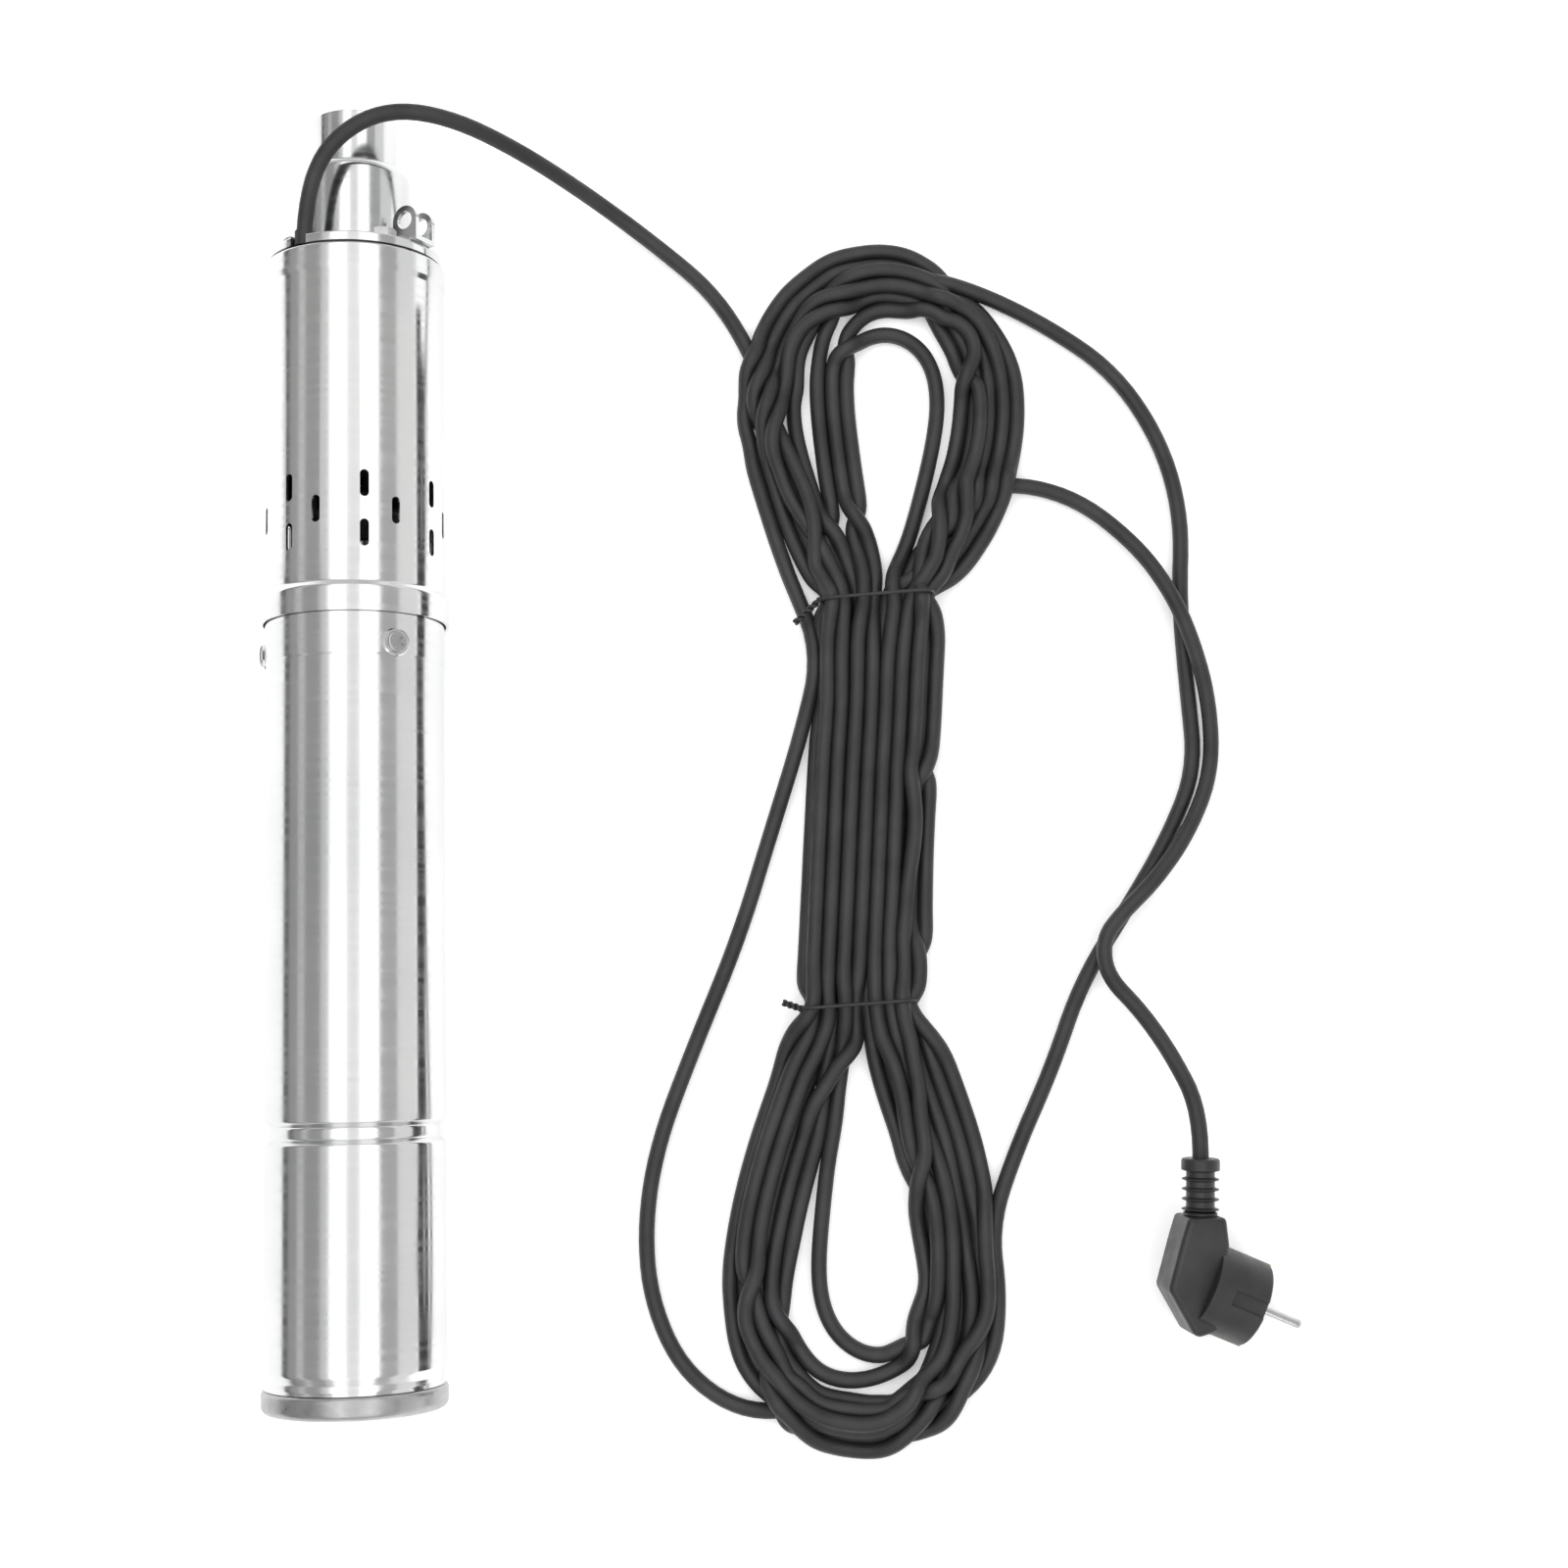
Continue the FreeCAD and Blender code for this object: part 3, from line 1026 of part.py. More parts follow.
def cord_pieces():
    pieces = {
        "cable_lead": cable_lead(), "cable_hank": cable_hank(),
        "cable_loop_right": tube(RIGHT_LOOP_ROUTE, CABLE_RADIUS, "right loop"),
        "cable_loop_left": tube(LEFT_LOOP_ROUTE, CABLE_RADIUS, "left loop"),
        "cable_tail": cable_tail(),
    }
    for name, place in TIE_PLACES.items():
        pieces[name] = twist_tie(place)
    return pieces


def plug_pieces():
    return {"plug_body": plug_body(), "plug_pins": plug_pins(), "earth_contacts": earth_contacts(),
            "plug_strain_relief": plug_strain_relief()}


def main():
    os.makedirs("parts", exist_ok=True)
    placed = {name: lay_down(shape) for name, shape in pump_pieces().items()}
    placed.update(cord_pieces())
    placed.update({name: plug_place(shape) for name, shape in plug_pieces().items()})
    for name, shape in placed.items():
        if not shape.isValid() or shape.Volume <= 0:
            print("not sound:", name, shape.isValid(), shape.Volume)
        shape.exportStep("parts/" + name + ".step")
    print(len(placed), "nodes")


main()
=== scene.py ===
import math

import bpy
import numpy as np
from mathutils import Matrix, Vector


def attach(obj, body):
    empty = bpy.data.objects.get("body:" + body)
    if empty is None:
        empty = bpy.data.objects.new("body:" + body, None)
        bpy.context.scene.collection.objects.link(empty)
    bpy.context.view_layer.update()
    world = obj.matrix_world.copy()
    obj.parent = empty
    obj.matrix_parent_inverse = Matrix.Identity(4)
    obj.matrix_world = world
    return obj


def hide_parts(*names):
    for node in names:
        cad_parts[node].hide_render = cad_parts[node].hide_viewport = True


# Looks of a stainless borehole pump that lies beside its tied cable, in the frame's own axes: +Y runs
# along the pump to its outlet, and +Z points up from the floor. The cable, its hank and its ties are
# worked out in millimetres, and everything else is in metres.
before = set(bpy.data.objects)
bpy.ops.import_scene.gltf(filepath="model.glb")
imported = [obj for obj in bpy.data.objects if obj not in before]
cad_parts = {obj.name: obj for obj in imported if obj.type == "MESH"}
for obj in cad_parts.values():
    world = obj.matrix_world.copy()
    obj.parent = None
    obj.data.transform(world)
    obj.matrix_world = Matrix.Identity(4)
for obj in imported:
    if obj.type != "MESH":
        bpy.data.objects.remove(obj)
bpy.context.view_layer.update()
MM = 0.001

# ------------------------------------------------------------ sizes
CABLE_RADIUS_MM = 3.5
CABLE_DIAMETER = 2 * CABLE_RADIUS_MM * MM
CABLE_EXIT = (-16.25, 217.05, 68.52)

# Camera: lens and sensor in mm, place in metres, turns in degrees.
LENS = 52.875
SENSOR = 36.0
CAMERA_PLACE = (0.18237, -0.14001, 1.01182)
CAMERA_TILT = 7.0
CAMERA_ROLL = -1.31

# The cable's own points, in mm, as the CAD source has them.
LEAD_ROUTE = [
    (-14.5, 237, 71), (-2, 256, 76.5), (20, 267.5, 77), (46, 267, 68), (74, 260, 45), (103, 248, 19),
    (131, 230, 5), (156, 208, 3.6), (173, 178, 3.6), (178, 156, 5), (188, 131, 10), (199, 104, 13),
]
RIGHT_LOOP_ROUTE = [
    (252, 211, 10), (276, 205, 5), (305, 190, 3.6), (335, 168, 3.6), (355, 135, 3.6), (363, 100, 3.6),
    (360, 62, 3.6), (362, 20, 3.6), (364, -14, 3.6), (350, -45, 3.6), (333, -72, 3.6),
    (310, -106, 3.6), (296, -143, 3.6), (279, -178, 3.6), (267, -210, 3.6), (270, -240, 3.6),
    (266, -268, 3.6), (246, -286, 3.6), (218, -292, 3.6),
]
LEFT_LOOP_ROUTE = [
    (186, -285, 3.6), (158, -286, 3.6), (133, -268, 3.6), (120, -238, 3.6), (118, -206, 3.6),
    (124, -172, 3.6), (140, -132, 3.6), (161, -84, 3.6), (176, -38, 3.6), (190, 4, 3.6), (200, 42, 5),
]
TAIL_ROUTE = [
    (244, 70, 12), (247, 92, 9), (262, 110, 4), (286, 118, 3.6), (316, 110, 3.6), (341, 88, 6),
    (355, 65, 12), (364, 42, 12), (371, 16, 6), (371, -15, 6), (359, -42, 9), (343, -63, 12.5),
    (328, -77, 12.5), (319, -88, 12.5), (320, -104, 12), (334, -119, 11.5), (346, -138, 15),
]

# Plug: the middle of its face, how it is turned, and the foot and top of its strain relief.
PLUG_FACE = Vector((375.7, -244.3, 18.7))
PLUG_TURN = -24.0
PLUG_TILT = 8.0
RELIEF_FOOT = Vector((-35.7, 26.0, 0.0))
RELIEF_TOP = Vector((-44.6, 48.2, 0.0))
RELIEF_LEAD = 20.0          # last straight stretch of the cable before the relief

# Boards along the pump that its polished tube mirrors. Each reaches from one angle to another, in
# degrees from straight up as seen from the pump's axis, and glows with the strength that follows.
AXIS_HEIGHT = 0.04
BOARD_DISTANCE = 0.9
BOARD_ENDS = (-1.3, 1.3)
BOARDS = [
    ("foot_board", -90, -80, 0.1), ("left_board", -80, -65, 0.33), ("left_glow", -65, -55, 0.6),
    ("upper_left_board", -55, -33, 0.33), ("overhead_left", -22, 0, 1.6),
    ("overhead_middle", 0, 16, 0.95), ("overhead_right", 16, 40, 1.6),
    ("upper_right_board", 42, 64, 0.45), ("right_board", 64, 92, 0.85),
]

# A dark board close to the pump, which draws a thin line near the right edge of the tube.
NEAR_BOARD = ("low_board", 76, 83, 0.02)
NEAR_DISTANCE = 0.075
NEAR_ENDS = (-0.27, 0.2)

# Lamps: name, side, place and power. Both aim at one point on the floor.
LAMPS = [("key", 1.6, (-0.5, 0.5, 1.7), 14), ("fill", 1.4, (1.1, -0.5, 1.5), 9)]
LAMP_AIM = (0.15, 0, 0)
WORLD_GLOW = 0.72
FLOOR_GLOW = 0.3
FLOOR_SIDE = 6.0
FLOOR_MIDDLE = (0.2, 0, 0)

# Hank: the two ties (x, y) and how the strands lie between them, in mm.
TIES = {"twist_tie_upper": (226.0, 65.0), "twist_tie_lower": (213.5, -114.0)}
COLUMN_STEP = 6.7
MIDDLE_COLUMN = 3
WAIST_STATIONS = (64, 20, -25, -70, -114)
LAYER_HEIGHTS = (5.2, 11.2, 17.0)
WANDER = 0.8                # how far a strand strays to either side between the ties
HEIGHT_STEP = 3.4           # how much higher each turn's bends start than the last one's
BEND_BULGE = 1.06           # how far out a bend's control points lie, in half widths of the bend
BEND_SHOULDER = 0.93        # how far out it is where it starts and stops, in half widths
BEND_REACH = 2.1            # how far from its end it starts and stops, in half widths
SIDE_OF_TIE = 30.0          # strands of the hank pass a tie within this of its middle

# Ties: the room for the middles of the strands inside, and the two twisted ends of each wire, as
# their heading in degrees, length and number of twists.
TIE_WIRE_MM = 1.6
TIE_HALF_WIDTH = 20.5
TIE_TOP = 17.4
GATHER_SIDE = 40.0          # strands this near its middle are drawn into it
TIE_GRIP = 5.0              # how far along a strand the tie holds it in
TIE_EASE = 11.0             # how far along a strand it still rises over the wire on the floor
TIE_SLANT = 3.0             # degrees by which the wire crosses the hank askew
TIE_POINTS = 40
TIE_ENDS = {"twist_tie_upper": (222, 15.0, 2.6), "twist_tie_lower": (160, 8.0, 1.6)}
TWIST_RADIUS = 0.85
TWIST_START = 1.2           # how far outside the wire's loop the twist begins
TWIST_POINTS = 8            # control points in one twist

# Settling of the wound cable: what each step does to a point, in mm or as a share.
LOOSE_SPACING = 6.0
FIXED_SPACING = 4.0
SETTLE_STEPS = 170
SINK = 0.28
DRAW_BACK = 0.04            # share of the way back to where it was laid out
EASING = 0.22               # share of the way to the middle of its two neighbours
HOLD_LENGTH = 0.6           # share by which a wrong distance to its neighbour is mended
PUSH_IF_BOTH_MOVE = 0.3     # share of an overlap by which two loose points each give way
PUSH_IF_ONE_MOVES = 0.6     # the same where the other point is fixed
NEXT_ALONG = 4              # points this near along the cable don't push each other

# One row per turn: (column, layer) of its strand down, its bottom bend (half width, middle, end),
# (column, layer) of its strand up and its top bend (half width, middle, end).
TURNS = [
    ((0, 2), (52, 212, -300), (6, 0), (57, 229, 224)),
    ((0, 0), (50, 211, -296), (5, 0), (50, 227, 221)),
    ((1, 0), (44, 208, -301), (4, 0), (43, 232, 217)),
    ((2, 0), (38, 212, -290), (3, 0), (52, 233, 213)),
    ((0, 1), (51, 214, -291), (6, 1), (46, 228, 208)),
    ((1, 1), (43, 206, -295), (5, 1), (31, 243, 206)),
    ((2, 1), (28, 220, -266), (4, 1), (25, 231, 190)),
    ((3, 1), (36, 206, -276), (6, 2), None),
]
LOOSE_TURN = 0              # the turn whose top bend leads into the loose loops
FIRST_TOP = (33, 236, 219)  # top bend that the loose loop comes back into
FIRST_TOP_LIFT = 3.0
FIRST_TOP_SKIP = 3          # control points of that bend that the loop stands in for


# ------------------------------------------------------------ camera
def make_camera():
    data = bpy.data.cameras.new("camera")
    data.sensor_width = SENSOR
    data.lens = LENS
    camera = bpy.data.objects.new("camera", data)
    bpy.context.scene.collection.objects.link(camera)
    tilt = Matrix.Rotation(math.radians(CAMERA_TILT), 4, "X")
    roll = Matrix.Rotation(math.radians(CAMERA_ROLL), 4, "Z")
    camera.matrix_world = Matrix.Translation(CAMERA_PLACE) @ tilt @ roll
    bpy.context.scene.camera = camera


# ------------------------------------------------------------ cable
def smooth_points(controls, spacing):
    """Evenly spaced points along the uniform quadratic B-spline of some control points."""
    c = np.array(controls, float)
    steps = 24
    share = np.linspace(0, 1, steps, endpoint=False)[:, None]
    spans = []
    for before, here, after in zip(c, c[1:], c[2:]):
        start, end = (before + here) / 2, (here + after) / 2
        spans.append((1 - share) ** 2 * start + 2 * share * (1 - share) * here + share ** 2 * end)
    line = np.vstack(spans)
    along = np.concatenate([[0], np.cumsum(np.linalg.norm(np.diff(line, axis=0), axis=1))])
    places = np.linspace(0, along[-1], max(2, round(along[-1] / spacing)) + 1)
    return np.stack([np.interp(places, along, line[:, k]) for k in range(3)], axis=1)


def waist_points(slot):
    """A strand between the two ties, from the upper one down, in its column and layer."""
    column, layer = slot
    (upper_x, upper_y), (lower_x, lower_y) = TIES.values()
    points = []
    for y in WAIST_STATIONS:
        middle = lower_x + (upper_x - lower_x) * (y - lower_y) / (upper_y - lower_y)
        wander = WANDER * math.sin(0.05 * y + 2.1 * column + layer)
        x = middle + (column - MIDDLE_COLUMN) * COLUMN_STEP + wander
        points.append((x, y, LAYER_HEIGHTS[layer]))
    return points


def bend_points(bend, height, top):
    """The control points of one bend: down round the foot, or over the top, of the hank."""
    half, middle, end = bend
    side = 1 if top else -1
    centre = end - side * half
    bulge = side * BEND_BULGE * half
    start = end - side * BEND_REACH * half
    points = [(middle + side * BEND_SHOULDER * half, start, height)]
    for turn in (0, 45, 90, 135, 180):
        a = math.radians(turn)
        points.append((middle + bulge * math.cos(a), centre + bulge * math.sin(a), height))
    points.append((middle - side * BEND_SHOULDER * half, start, height))
    return points


def hank_stretches():
    """Control points of the wound cable: up to the loose loops, and from them to the tail."""
    first, second = [], []
    for i, (down, bottom, up, top) in enumerate(TURNS):
        height = LAYER_HEIGHTS[0] + HEIGHT_STEP * i
        stretch = first if i <= LOOSE_TURN else second
        stretch += waist_points(down)
        stretch += bend_points(bottom, height, False)
        stretch += waist_points(up)[::-1]
        if top:
            stretch += bend_points(top, height, True)
        if i == LOOSE_TURN:
            second += bend_points(FIRST_TOP, height + FIRST_TOP_LIFT, True)[FIRST_TOP_SKIP:]
    return first, second


def floor_under(points):
    """How high a strand lies where only the floor, or a tie on the floor, is under it."""
    low = np.full(len(points), CABLE_RADIUS_MM)
    for tie_x, tie_y in TIES.values():
        near = np.abs(points[:, 0] - tie_x) < SIDE_OF_TIE
        low += near * (TIE_WIRE_MM + 0.1) * np.exp(-((points[:, 1] - tie_y) / TIE_EASE) ** 2)
    return low


def gather_in_ties(points):
    """Keeps the strands inside both ties, where they pass through them."""
    for tie_x, tie_y in TIES.values():
        beside = np.abs(points[:, 0] - tie_x) < GATHER_SIDE
        near = (np.abs(points[:, 1] - tie_y) < TIE_GRIP) & beside
        points[near, 0] = np.clip(points[near, 0], tie_x - TIE_HALF_WIDTH, tie_x + TIE_HALF_WIDTH)
        points[near, 2] = np.minimum(points[near, 2], TIE_TOP)


def sink_and_smooth(loose, drawn, linked):
    """Lowers the loose points, draws them towards their layout and evens out their bends."""
    loose[:, 2] -= SINK
    loose[:, :2] += DRAW_BACK * (drawn - loose[:, :2])
    middle = (loose[:-2] + loose[2:]) / 2
    inner = linked[:-1] & linked[1:]
    loose[1:-1][inner] += EASING * (middle[inner] - loose[1:-1][inner])


def keep_lengths(loose, linked, runs):
    """Brings each two linked points back towards the distance that they had."""
    gap = np.diff(loose, axis=0)
    size = np.linalg.norm(gap, axis=1)
    pull = (gap * ((size - runs) / np.maximum(size, 1e-6) / 2)[:, None])[linked]
    where = np.flatnonzero(linked)
    np.add.at(loose, where, HOLD_LENGTH * pull)
    np.add.at(loose, where + 1, -HOLD_LENGTH * pull)


def push_apart(everything, count):
    """Moves the first count points, the loose ones, out of every point that they overlap."""
    square = (everything ** 2).sum(1)
    near = square[:count, None] + square[None, :] - 2 * everything[:count] @ everything.T
    first, second = np.nonzero(near < (2 * CABLE_RADIUS_MM) ** 2)
    far_along = (second - first > NEXT_ALONG)
    first, second = first[far_along], second[far_along]
    away = everything[first] - everything[second]
    size = np.maximum(np.linalg.norm(away, axis=1), 1e-4)
    push = away * ((2 * CABLE_RADIUS_MM - size) / size)[:, None]
    share = np.where(second < count, PUSH_IF_BOTH_MOVE, PUSH_IF_ONE_MOVES)[:, None]
    np.add.at(everything, first, share * push)
    both = second < count
    np.add.at(everything, second[both], -share[both] * push[both])


def settle(strands, fixed):
    """Lets wound strands sink under their weight until they lie on each other and the floor."""
    loose = np.vstack(strands)
    count = len(loose)
    ends = np.cumsum([len(strand) for strand in strands])[:-1]
    linked = np.ones(count - 1, bool)
    linked[ends - 1] = False
    drawn = loose[:, :2].copy()
    runs = np.linalg.norm(np.diff(loose, axis=0), axis=1)
    everything = np.vstack([loose, fixed])
    for _ in range(SETTLE_STEPS):
        sink_and_smooth(loose, drawn, linked)
        for _ in range(3):
            keep_lengths(loose, linked, runs)
        everything[:count] = loose
        for _ in range(2):
            push_apart(everything, count)
        loose = everything[:count].copy()
        gather_in_ties(loose)
        loose[:, 2] = np.maximum(loose[:, 2], floor_under(loose))
    return np.split(loose, ends)


def plug_matrix():
    turn = Matrix.Rotation(math.radians(PLUG_TURN), 4, "Z")
    tilt = Matrix.Rotation(math.radians(PLUG_TILT), 4, "Y")
    return Matrix.Translation(PLUG_FACE) @ turn @ tilt


def cable_points():
    """The whole cable, from its exit to the plug: points in mm, and the settled strands."""
    relief_top = plug_matrix() @ RELIEF_TOP
    along = (relief_top - plug_matrix() @ RELIEF_FOOT).normalized()
    tail = TAIL_ROUTE + [tuple(relief_top + along * RELIEF_LEAD), tuple(relief_top)]
    lead = [CABLE_EXIT] + LEAD_ROUTE
    loop = LEFT_LOOP_ROUTE[::-1] + RIGHT_LOOP_ROUTE[::-1]
    fixed = np.vstack([smooth_points(run, FIXED_SPACING) for run in (lead, loop, tail)])
    first, second = hank_stretches()
    strands = [smooth_points([lead[-1]] + first + [loop[0]], LOOSE_SPACING),
               smooth_points([loop[-1]] + second + [tail[0]], LOOSE_SPACING)]
    strands = settle(strands, fixed)
    points = np.vstack([lead, strands[0], loop, strands[1], tail])
    return points, np.vstack(strands)


def curve_piece(name, points, radius, resolution, sides, material):
    """A round wire or cord along a smooth open curve through control points in metres."""
    data = bpy.data.curves.new(name, "CURVE")
    data.dimensions = "3D"
    data.bevel_depth = radius
    data.bevel_resolution = sides
    data.resolution_u = resolution
    data.use_fill_caps = True
    spline = data.splines.new("NURBS")
    spline.points.add(len(points) - 1)
    for point, place in zip(spline.points, points):
        point.co = (*place, 1.0)
    spline.order_u = 3
    spline.use_endpoint_u = True
    piece = bpy.data.objects.new(name, data)
    bpy.context.scene.collection.objects.link(piece)
    data.materials.append(material)
    return piece


def tie_outline(strands, tie):
    """Where a taut wire lies round the strands at a tie: their outline, half a wire out."""
    tie_x, tie_y = tie
    along, aside = np.abs(strands[:, 1] - tie_y), np.abs(strands[:, 0] - tie_x)
    near = strands[(along < CABLE_RADIUS_MM + 0.5) & (aside < SIDE_OF_TIE)]
    slope = math.tan(math.radians(TIE_SLANT))
    reach = CABLE_RADIUS_MM + TIE_WIRE_MM / 2
    outline = []
    for i in range(TIE_POINTS):
        a = 2 * math.pi * i / TIE_POINTS
        direction = np.array([math.cos(a), math.sin(a)])
        outer = near[np.argmax(near[:, [0, 2]] @ direction)]
        x = outer[0] + reach * direction[0]
        z = max(outer[2] + reach * direction[1], TIE_WIRE_MM / 2)
        outline.append((x, tie_y + (x - tie_x) * slope, z))
    return outline


def twisted_ends(foot, heading, length, turns, side):
    """One of two wires that are twisted about each other, out from the side of the loop."""
    out = Vector((math.cos(heading), math.sin(heading), 0.0))
    across = Vector((-out.y, out.x, 0.0))
    points = []
    count = max(TWIST_POINTS, round(turns * TWIST_POINTS))
    for i in range(count + 1):
        a = 2 * math.pi * turns * i / count + side * math.pi
        lift = Vector((0, 0, 1)) * math.sin(a) + across * math.cos(a)
        points.append(tuple(foot + out * (length * i / count) + lift * TWIST_RADIUS))
    return points


def make_ties(strands, material):
    """The two ties: a wire round the strands whose ends are twisted together at the left."""
    pieces = []
    for name, tie in TIES.items():
        heading, length, turns = TIE_ENDS[name]
        outline = tie_outline(strands, tie)
        start = min(range(len(outline)), key=lambda k: outline[k][0])
        ring = outline[start:] + outline[:start]
        foot = Vector(ring[0]) + Vector((-TWIST_START, 0, 0))
        one = twisted_ends(foot, math.radians(heading), length, turns, 0)
        two = twisted_ends(foot, math.radians(heading), length, turns, 1)
        wire = one[::-1] + ring + [ring[0]] + two
        piece = curve_piece(name + "_wire", np.array(wire) * MM, TIE_WIRE_MM / 2 * MM, 4, 3, material)
        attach(piece, "pump")
        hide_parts(name)
        pieces.append(piece)
    return pieces


# ------------------------------------------------------------ materials
class Shader:
    """A Principled material whose nodes are added by short calls."""

    def __init__(self, name, colour, roughness, metallic=0.0):
        self.material = bpy.data.materials.new(name)
        self.material.use_nodes = True
        self.tree = self.material.node_tree
        self.surface = self.tree.nodes["Principled BSDF"]
        self.surface.inputs["Base Color"].default_value = (*colour, 1)
        self.surface.inputs["Roughness"].default_value = roughness
        self.surface.inputs["Metallic"].default_value = metallic
        self.place = self.tree.nodes.new("ShaderNodeTexCoord").outputs["Object"]
        self.bumps = None

    def noise(self, scale, detail=4.0, stretch=(1, 1, 1)):
        mapping = self.tree.nodes.new("ShaderNodeMapping")
        mapping.inputs["Scale"].default_value = stretch
        self.tree.links.new(self.place, mapping.inputs["Vector"])
        noise = self.tree.nodes.new("ShaderNodeTexNoise")
        noise.inputs["Scale"].default_value = scale
        noise.inputs["Detail"].default_value = detail
        self.tree.links.new(mapping.outputs["Vector"], noise.inputs["Vector"])
        return noise.outputs["Fac"]

    def ramp(self, source, low, high):
        ramp = self.tree.nodes.new("ShaderNodeValToRGB")
        for element, position, value in zip(ramp.color_ramp.elements, (0.35, 0.65), (low, high)):
            element.position = position
            element.color = (*value, 1) if isinstance(value, tuple) else (value, value, value, 1)
        self.tree.links.new(source, ramp.inputs["Fac"])
        return ramp.outputs["Color"]

    def colour(self, source, low, high):
        self.tree.links.new(self.ramp(source, low, high), self.surface.inputs["Base Color"])

    def roughness(self, source, low, high):
        self.tree.links.new(self.ramp(source, low, high), self.surface.inputs["Roughness"])

    def bump(self, source, height, strength=1.0):
        bump = self.tree.nodes.new("ShaderNodeBump")
        bump.inputs["Distance"].default_value = height
        bump.inputs["Strength"].default_value = strength
        self.tree.links.new(source, bump.inputs["Height"])
        if self.bumps:
            self.tree.links.new(self.bumps, bump.inputs["Normal"])
        self.bumps = bump.outputs["Normal"]
        self.tree.links.new(self.bumps, self.surface.inputs["Normal"])

    def glow(self, strength):
        self.surface.inputs["Emission Color"].default_value = (1, 1, 1, 1)
        self.surface.inputs["Emission Strength"].default_value = strength


def polished_steel():
    s = Shader("polished_steel_look", (0.72, 0.72, 0.72), 0.16, 1.0)
    s.colour(s.noise(9, 3), (0.66, 0.665, 0.67), (0.76, 0.76, 0.755))
    s.roughness(s.noise(500, 2, (0.05, 1, 0.05)), 0.13, 0.21)
    s.bump(s.noise(900, 2, (0.02, 1, 0.02)), 0.000004, 0.5)
    s.bump(s.noise(14, 2), 0.0002, 0.12)
    return s.material


def satin_metal(name, tone, roughness, grain):
    s = Shader(name, (tone, tone, tone), roughness, 1.0)
    s.colour(s.noise(60, 5), (tone * 0.86,) * 3, (tone * 1.08,) * 3)
    s.roughness(s.noise(220, 4), roughness * 0.8, roughness * 1.25)
    s.bump(s.noise(grain, 5), 0.00003, 0.5)
    return s.material


def tinted_metal(name, low, high, roughness):
    s = Shader(name, low, roughness, 1.0)
    s.colour(s.noise(90, 5), low, high)
    s.roughness(s.noise(240, 4), roughness * 0.8, roughness * 1.3)
    s.bump(s.noise(700, 4), 0.00002, 0.5)
    return s.material


def dull_plastic(name, tone, roughness, grain, depth):
    s = Shader(name, (tone, tone, tone), roughness)
    s.colour(s.noise(70, 5), (tone * 0.8,) * 3, (tone * 1.25,) * 3)
    s.roughness(s.noise(160, 4), roughness * 0.88, roughness * 1.12)
    s.bump(s.noise(grain, 5), depth, 0.6)
    return s.material


def cable_rubber():
    s = Shader("cable_rubber_look", (0.022, 0.022, 0.023), 0.48)
    s.colour(s.noise(45, 5), (0.017, 0.017, 0.018), (0.028, 0.028, 0.03))
    s.roughness(s.noise(120, 5), 0.4, 0.56)
    s.bump(s.noise(1500, 3), 0.00003, 0.5)
    s.bump(s.noise(90, 3), 0.0001, 0.25)
    s.surface.inputs["Specular IOR Level"].default_value = 0.42
    return s.material


def make_materials():
    return {
        "polished_steel": polished_steel(),
        "cast_aluminium": satin_metal("satin_aluminium_look", 0.45, 0.34, 500),
        "zinc_screws": satin_metal("zinc_look", 0.48, 0.28, 600),
        "black_rubber": dull_plastic("black_rubber_look", 0.018, 0.55, 900, 0.00004),
        "cable_rubber": cable_rubber(),
        "plug_plastic": dull_plastic("plug_plastic_look", 0.02, 0.42, 1400, 0.00003),
        "nickel_pins": satin_metal("nickel_look", 0.74, 0.16, 900),
        "core_steel": satin_metal("core_steel_look", 0.3, 0.42, 400),
        "shaft_steel": satin_metal("shaft_steel_look", 0.66, 0.22, 500),
        "bearing_steel": satin_metal("bearing_steel_look", 0.7, 0.14, 700),
        "cast_iron": satin_metal("cast_iron_look", 0.22, 0.55, 300),
        "brass_parts": tinted_metal("brass_look", (0.66, 0.5, 0.25), (0.74, 0.58, 0.3), 0.28),
        "copper": tinted_metal("copper_look", (0.6, 0.28, 0.16), (0.72, 0.36, 0.2), 0.34),
        "ceramic": dull_plastic("ceramic_look", 0.7, 0.25, 900, 0.00001),
        "white_plastic": dull_plastic("white_plastic_look", 0.72, 0.42, 900, 0.00002),
        "stage_rubber": dull_plastic("stage_rubber_look", 0.012, 0.6, 700, 0.00005),
    }


def dress_frame(materials):
    """Gives every CAD node the finish of the material slot that it was packed with."""
    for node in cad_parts.values():
        for held in node.material_slots:
            held.material = materials[held.material.name.split(".")[0]]


# ------------------------------------------------------------ stage
def stage_sheet(name, corners, material):
    """A flat four-cornered piece that isn't part of the object."""
    data = bpy.data.meshes.new(name)
    data.from_pydata(corners, [], [(0, 1, 2, 3)])
    data.materials.append(material)
    piece = bpy.data.objects.new(name, data)
    bpy.context.scene.collection.objects.link(piece)
    return piece


def make_floor():
    half = FLOOR_SIDE / 2
    s = Shader("floor_look", (0.93, 0.93, 0.93), 0.7)
    s.colour(s.noise(6, 3), (0.92, 0.92, 0.92), (0.94, 0.94, 0.94))
    s.surface.inputs["Specular IOR Level"].default_value = 0.1
    s.glow(FLOOR_GLOW)
    corners = [(-half, -half, 0), (half, -half, 0), (half, half, 0), (-half, half, 0)]
    floor = stage_sheet("floor", corners, s.material)
    floor.location = FLOOR_MIDDLE


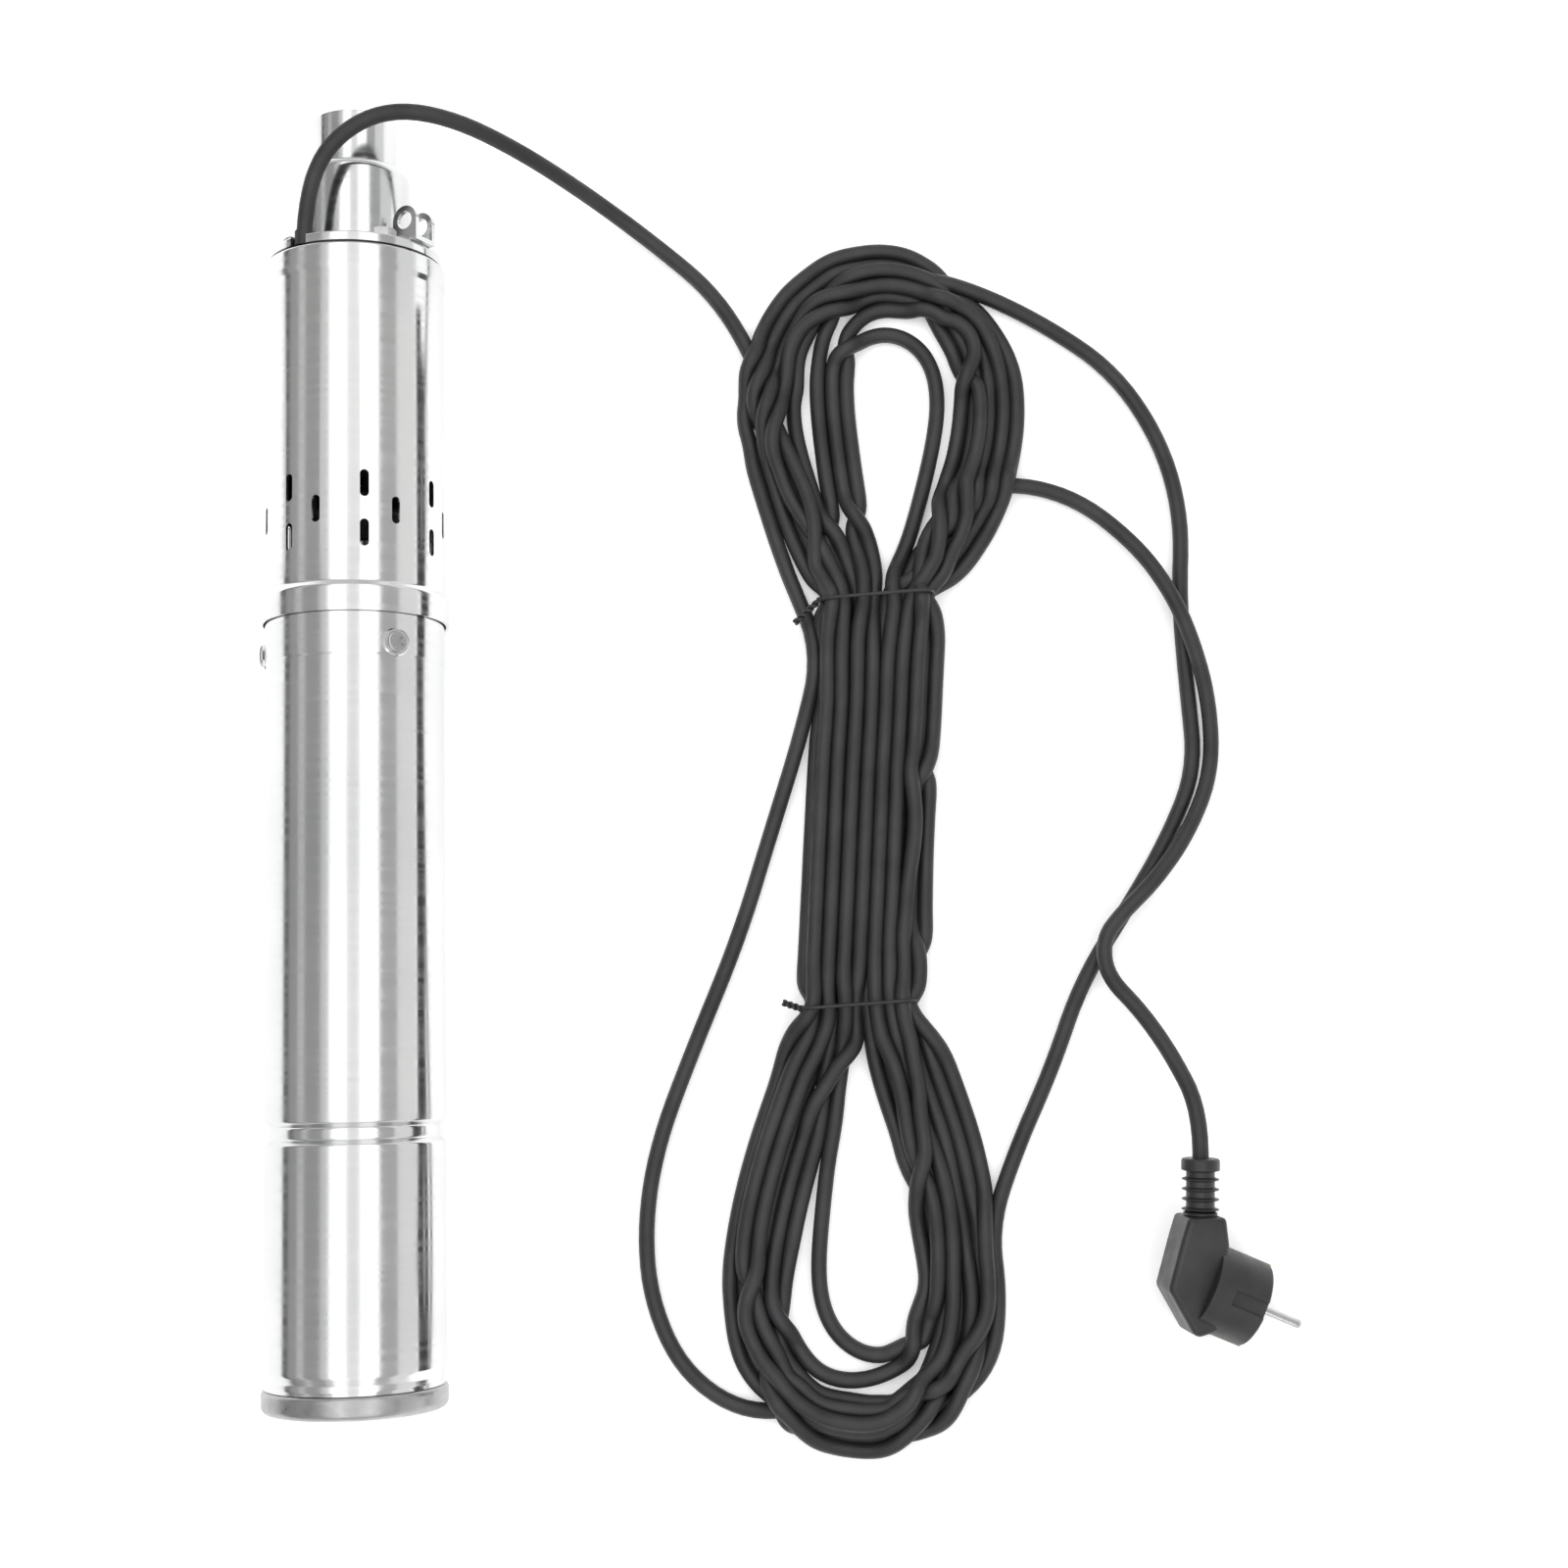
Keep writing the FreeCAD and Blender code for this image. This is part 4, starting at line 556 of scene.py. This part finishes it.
def board(name, low, high, glow, distance, ends):
    """A glowing board along the pump that only shows as a reflection. Seen from the pump's axis,
    it reaches from the low to the high angle from straight up."""
    corners = []
    for angle, y in ((low, ends[0]), (high, ends[0]), (high, ends[1]), (low, ends[1])):
        a = math.radians(angle)
        corners.append((distance * math.sin(a), y, AXIS_HEIGHT + distance * math.cos(a)))
    s = Shader(name + "_look", (0.02, 0.02, 0.02), 0.9)
    s.colour(s.noise(3, 2), (0.018,) * 3, (0.022,) * 3)
    s.glow(glow)
    piece = stage_sheet(name, corners, s.material)
    piece.visible_camera = False
    piece.visible_shadow = False
    piece.visible_diffuse = False


def lamp(name, side, place, power):
    data = bpy.data.lights.new(name, "AREA")
    data.shape = "RECTANGLE"
    data.size, data.size_y = side, side
    data.energy = power
    piece = bpy.data.objects.new(name, data)
    bpy.context.scene.collection.objects.link(piece)
    piece.location = place
    piece.rotation_euler = (Vector(LAMP_AIM) - Vector(place)).to_track_quat("-Z", "Y").to_euler()
    piece.visible_glossy = False


def make_world():
    world = bpy.data.worlds.new("studio")
    bpy.context.scene.world = world
    world.use_nodes = True
    background = world.node_tree.nodes["Background"]
    background.inputs["Color"].default_value = (1, 1, 1, 1)
    background.inputs["Strength"].default_value = WORLD_GLOW


def make_stage():
    make_floor()
    make_world()
    for name, side, place, power in LAMPS:
        lamp(name, side, place, power)
    for name, low, high, glow in BOARDS:
        board(name, low, high, glow, BOARD_DISTANCE, BOARD_ENDS)
    board(*NEAR_BOARD, NEAR_DISTANCE, NEAR_ENDS)


# ------------------------------------------------------------ the whole scene
def main():
    make_camera()
    materials = make_materials()
    dress_frame(materials)
    points, strands = cable_points()
    ties = make_ties(strands, materials["black_rubber"])
    cable = curve_piece("cable", points * MM, CABLE_DIAMETER / 2, 6, 4, materials["cable_rubber"])
    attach(cable, "pump")
    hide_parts("cable_lead", "cable_hank", "cable_loop_right", "cable_loop_left", "cable_tail")
    make_stage()
    bpy.context.scene.view_settings.view_transform = "Standard"


main()
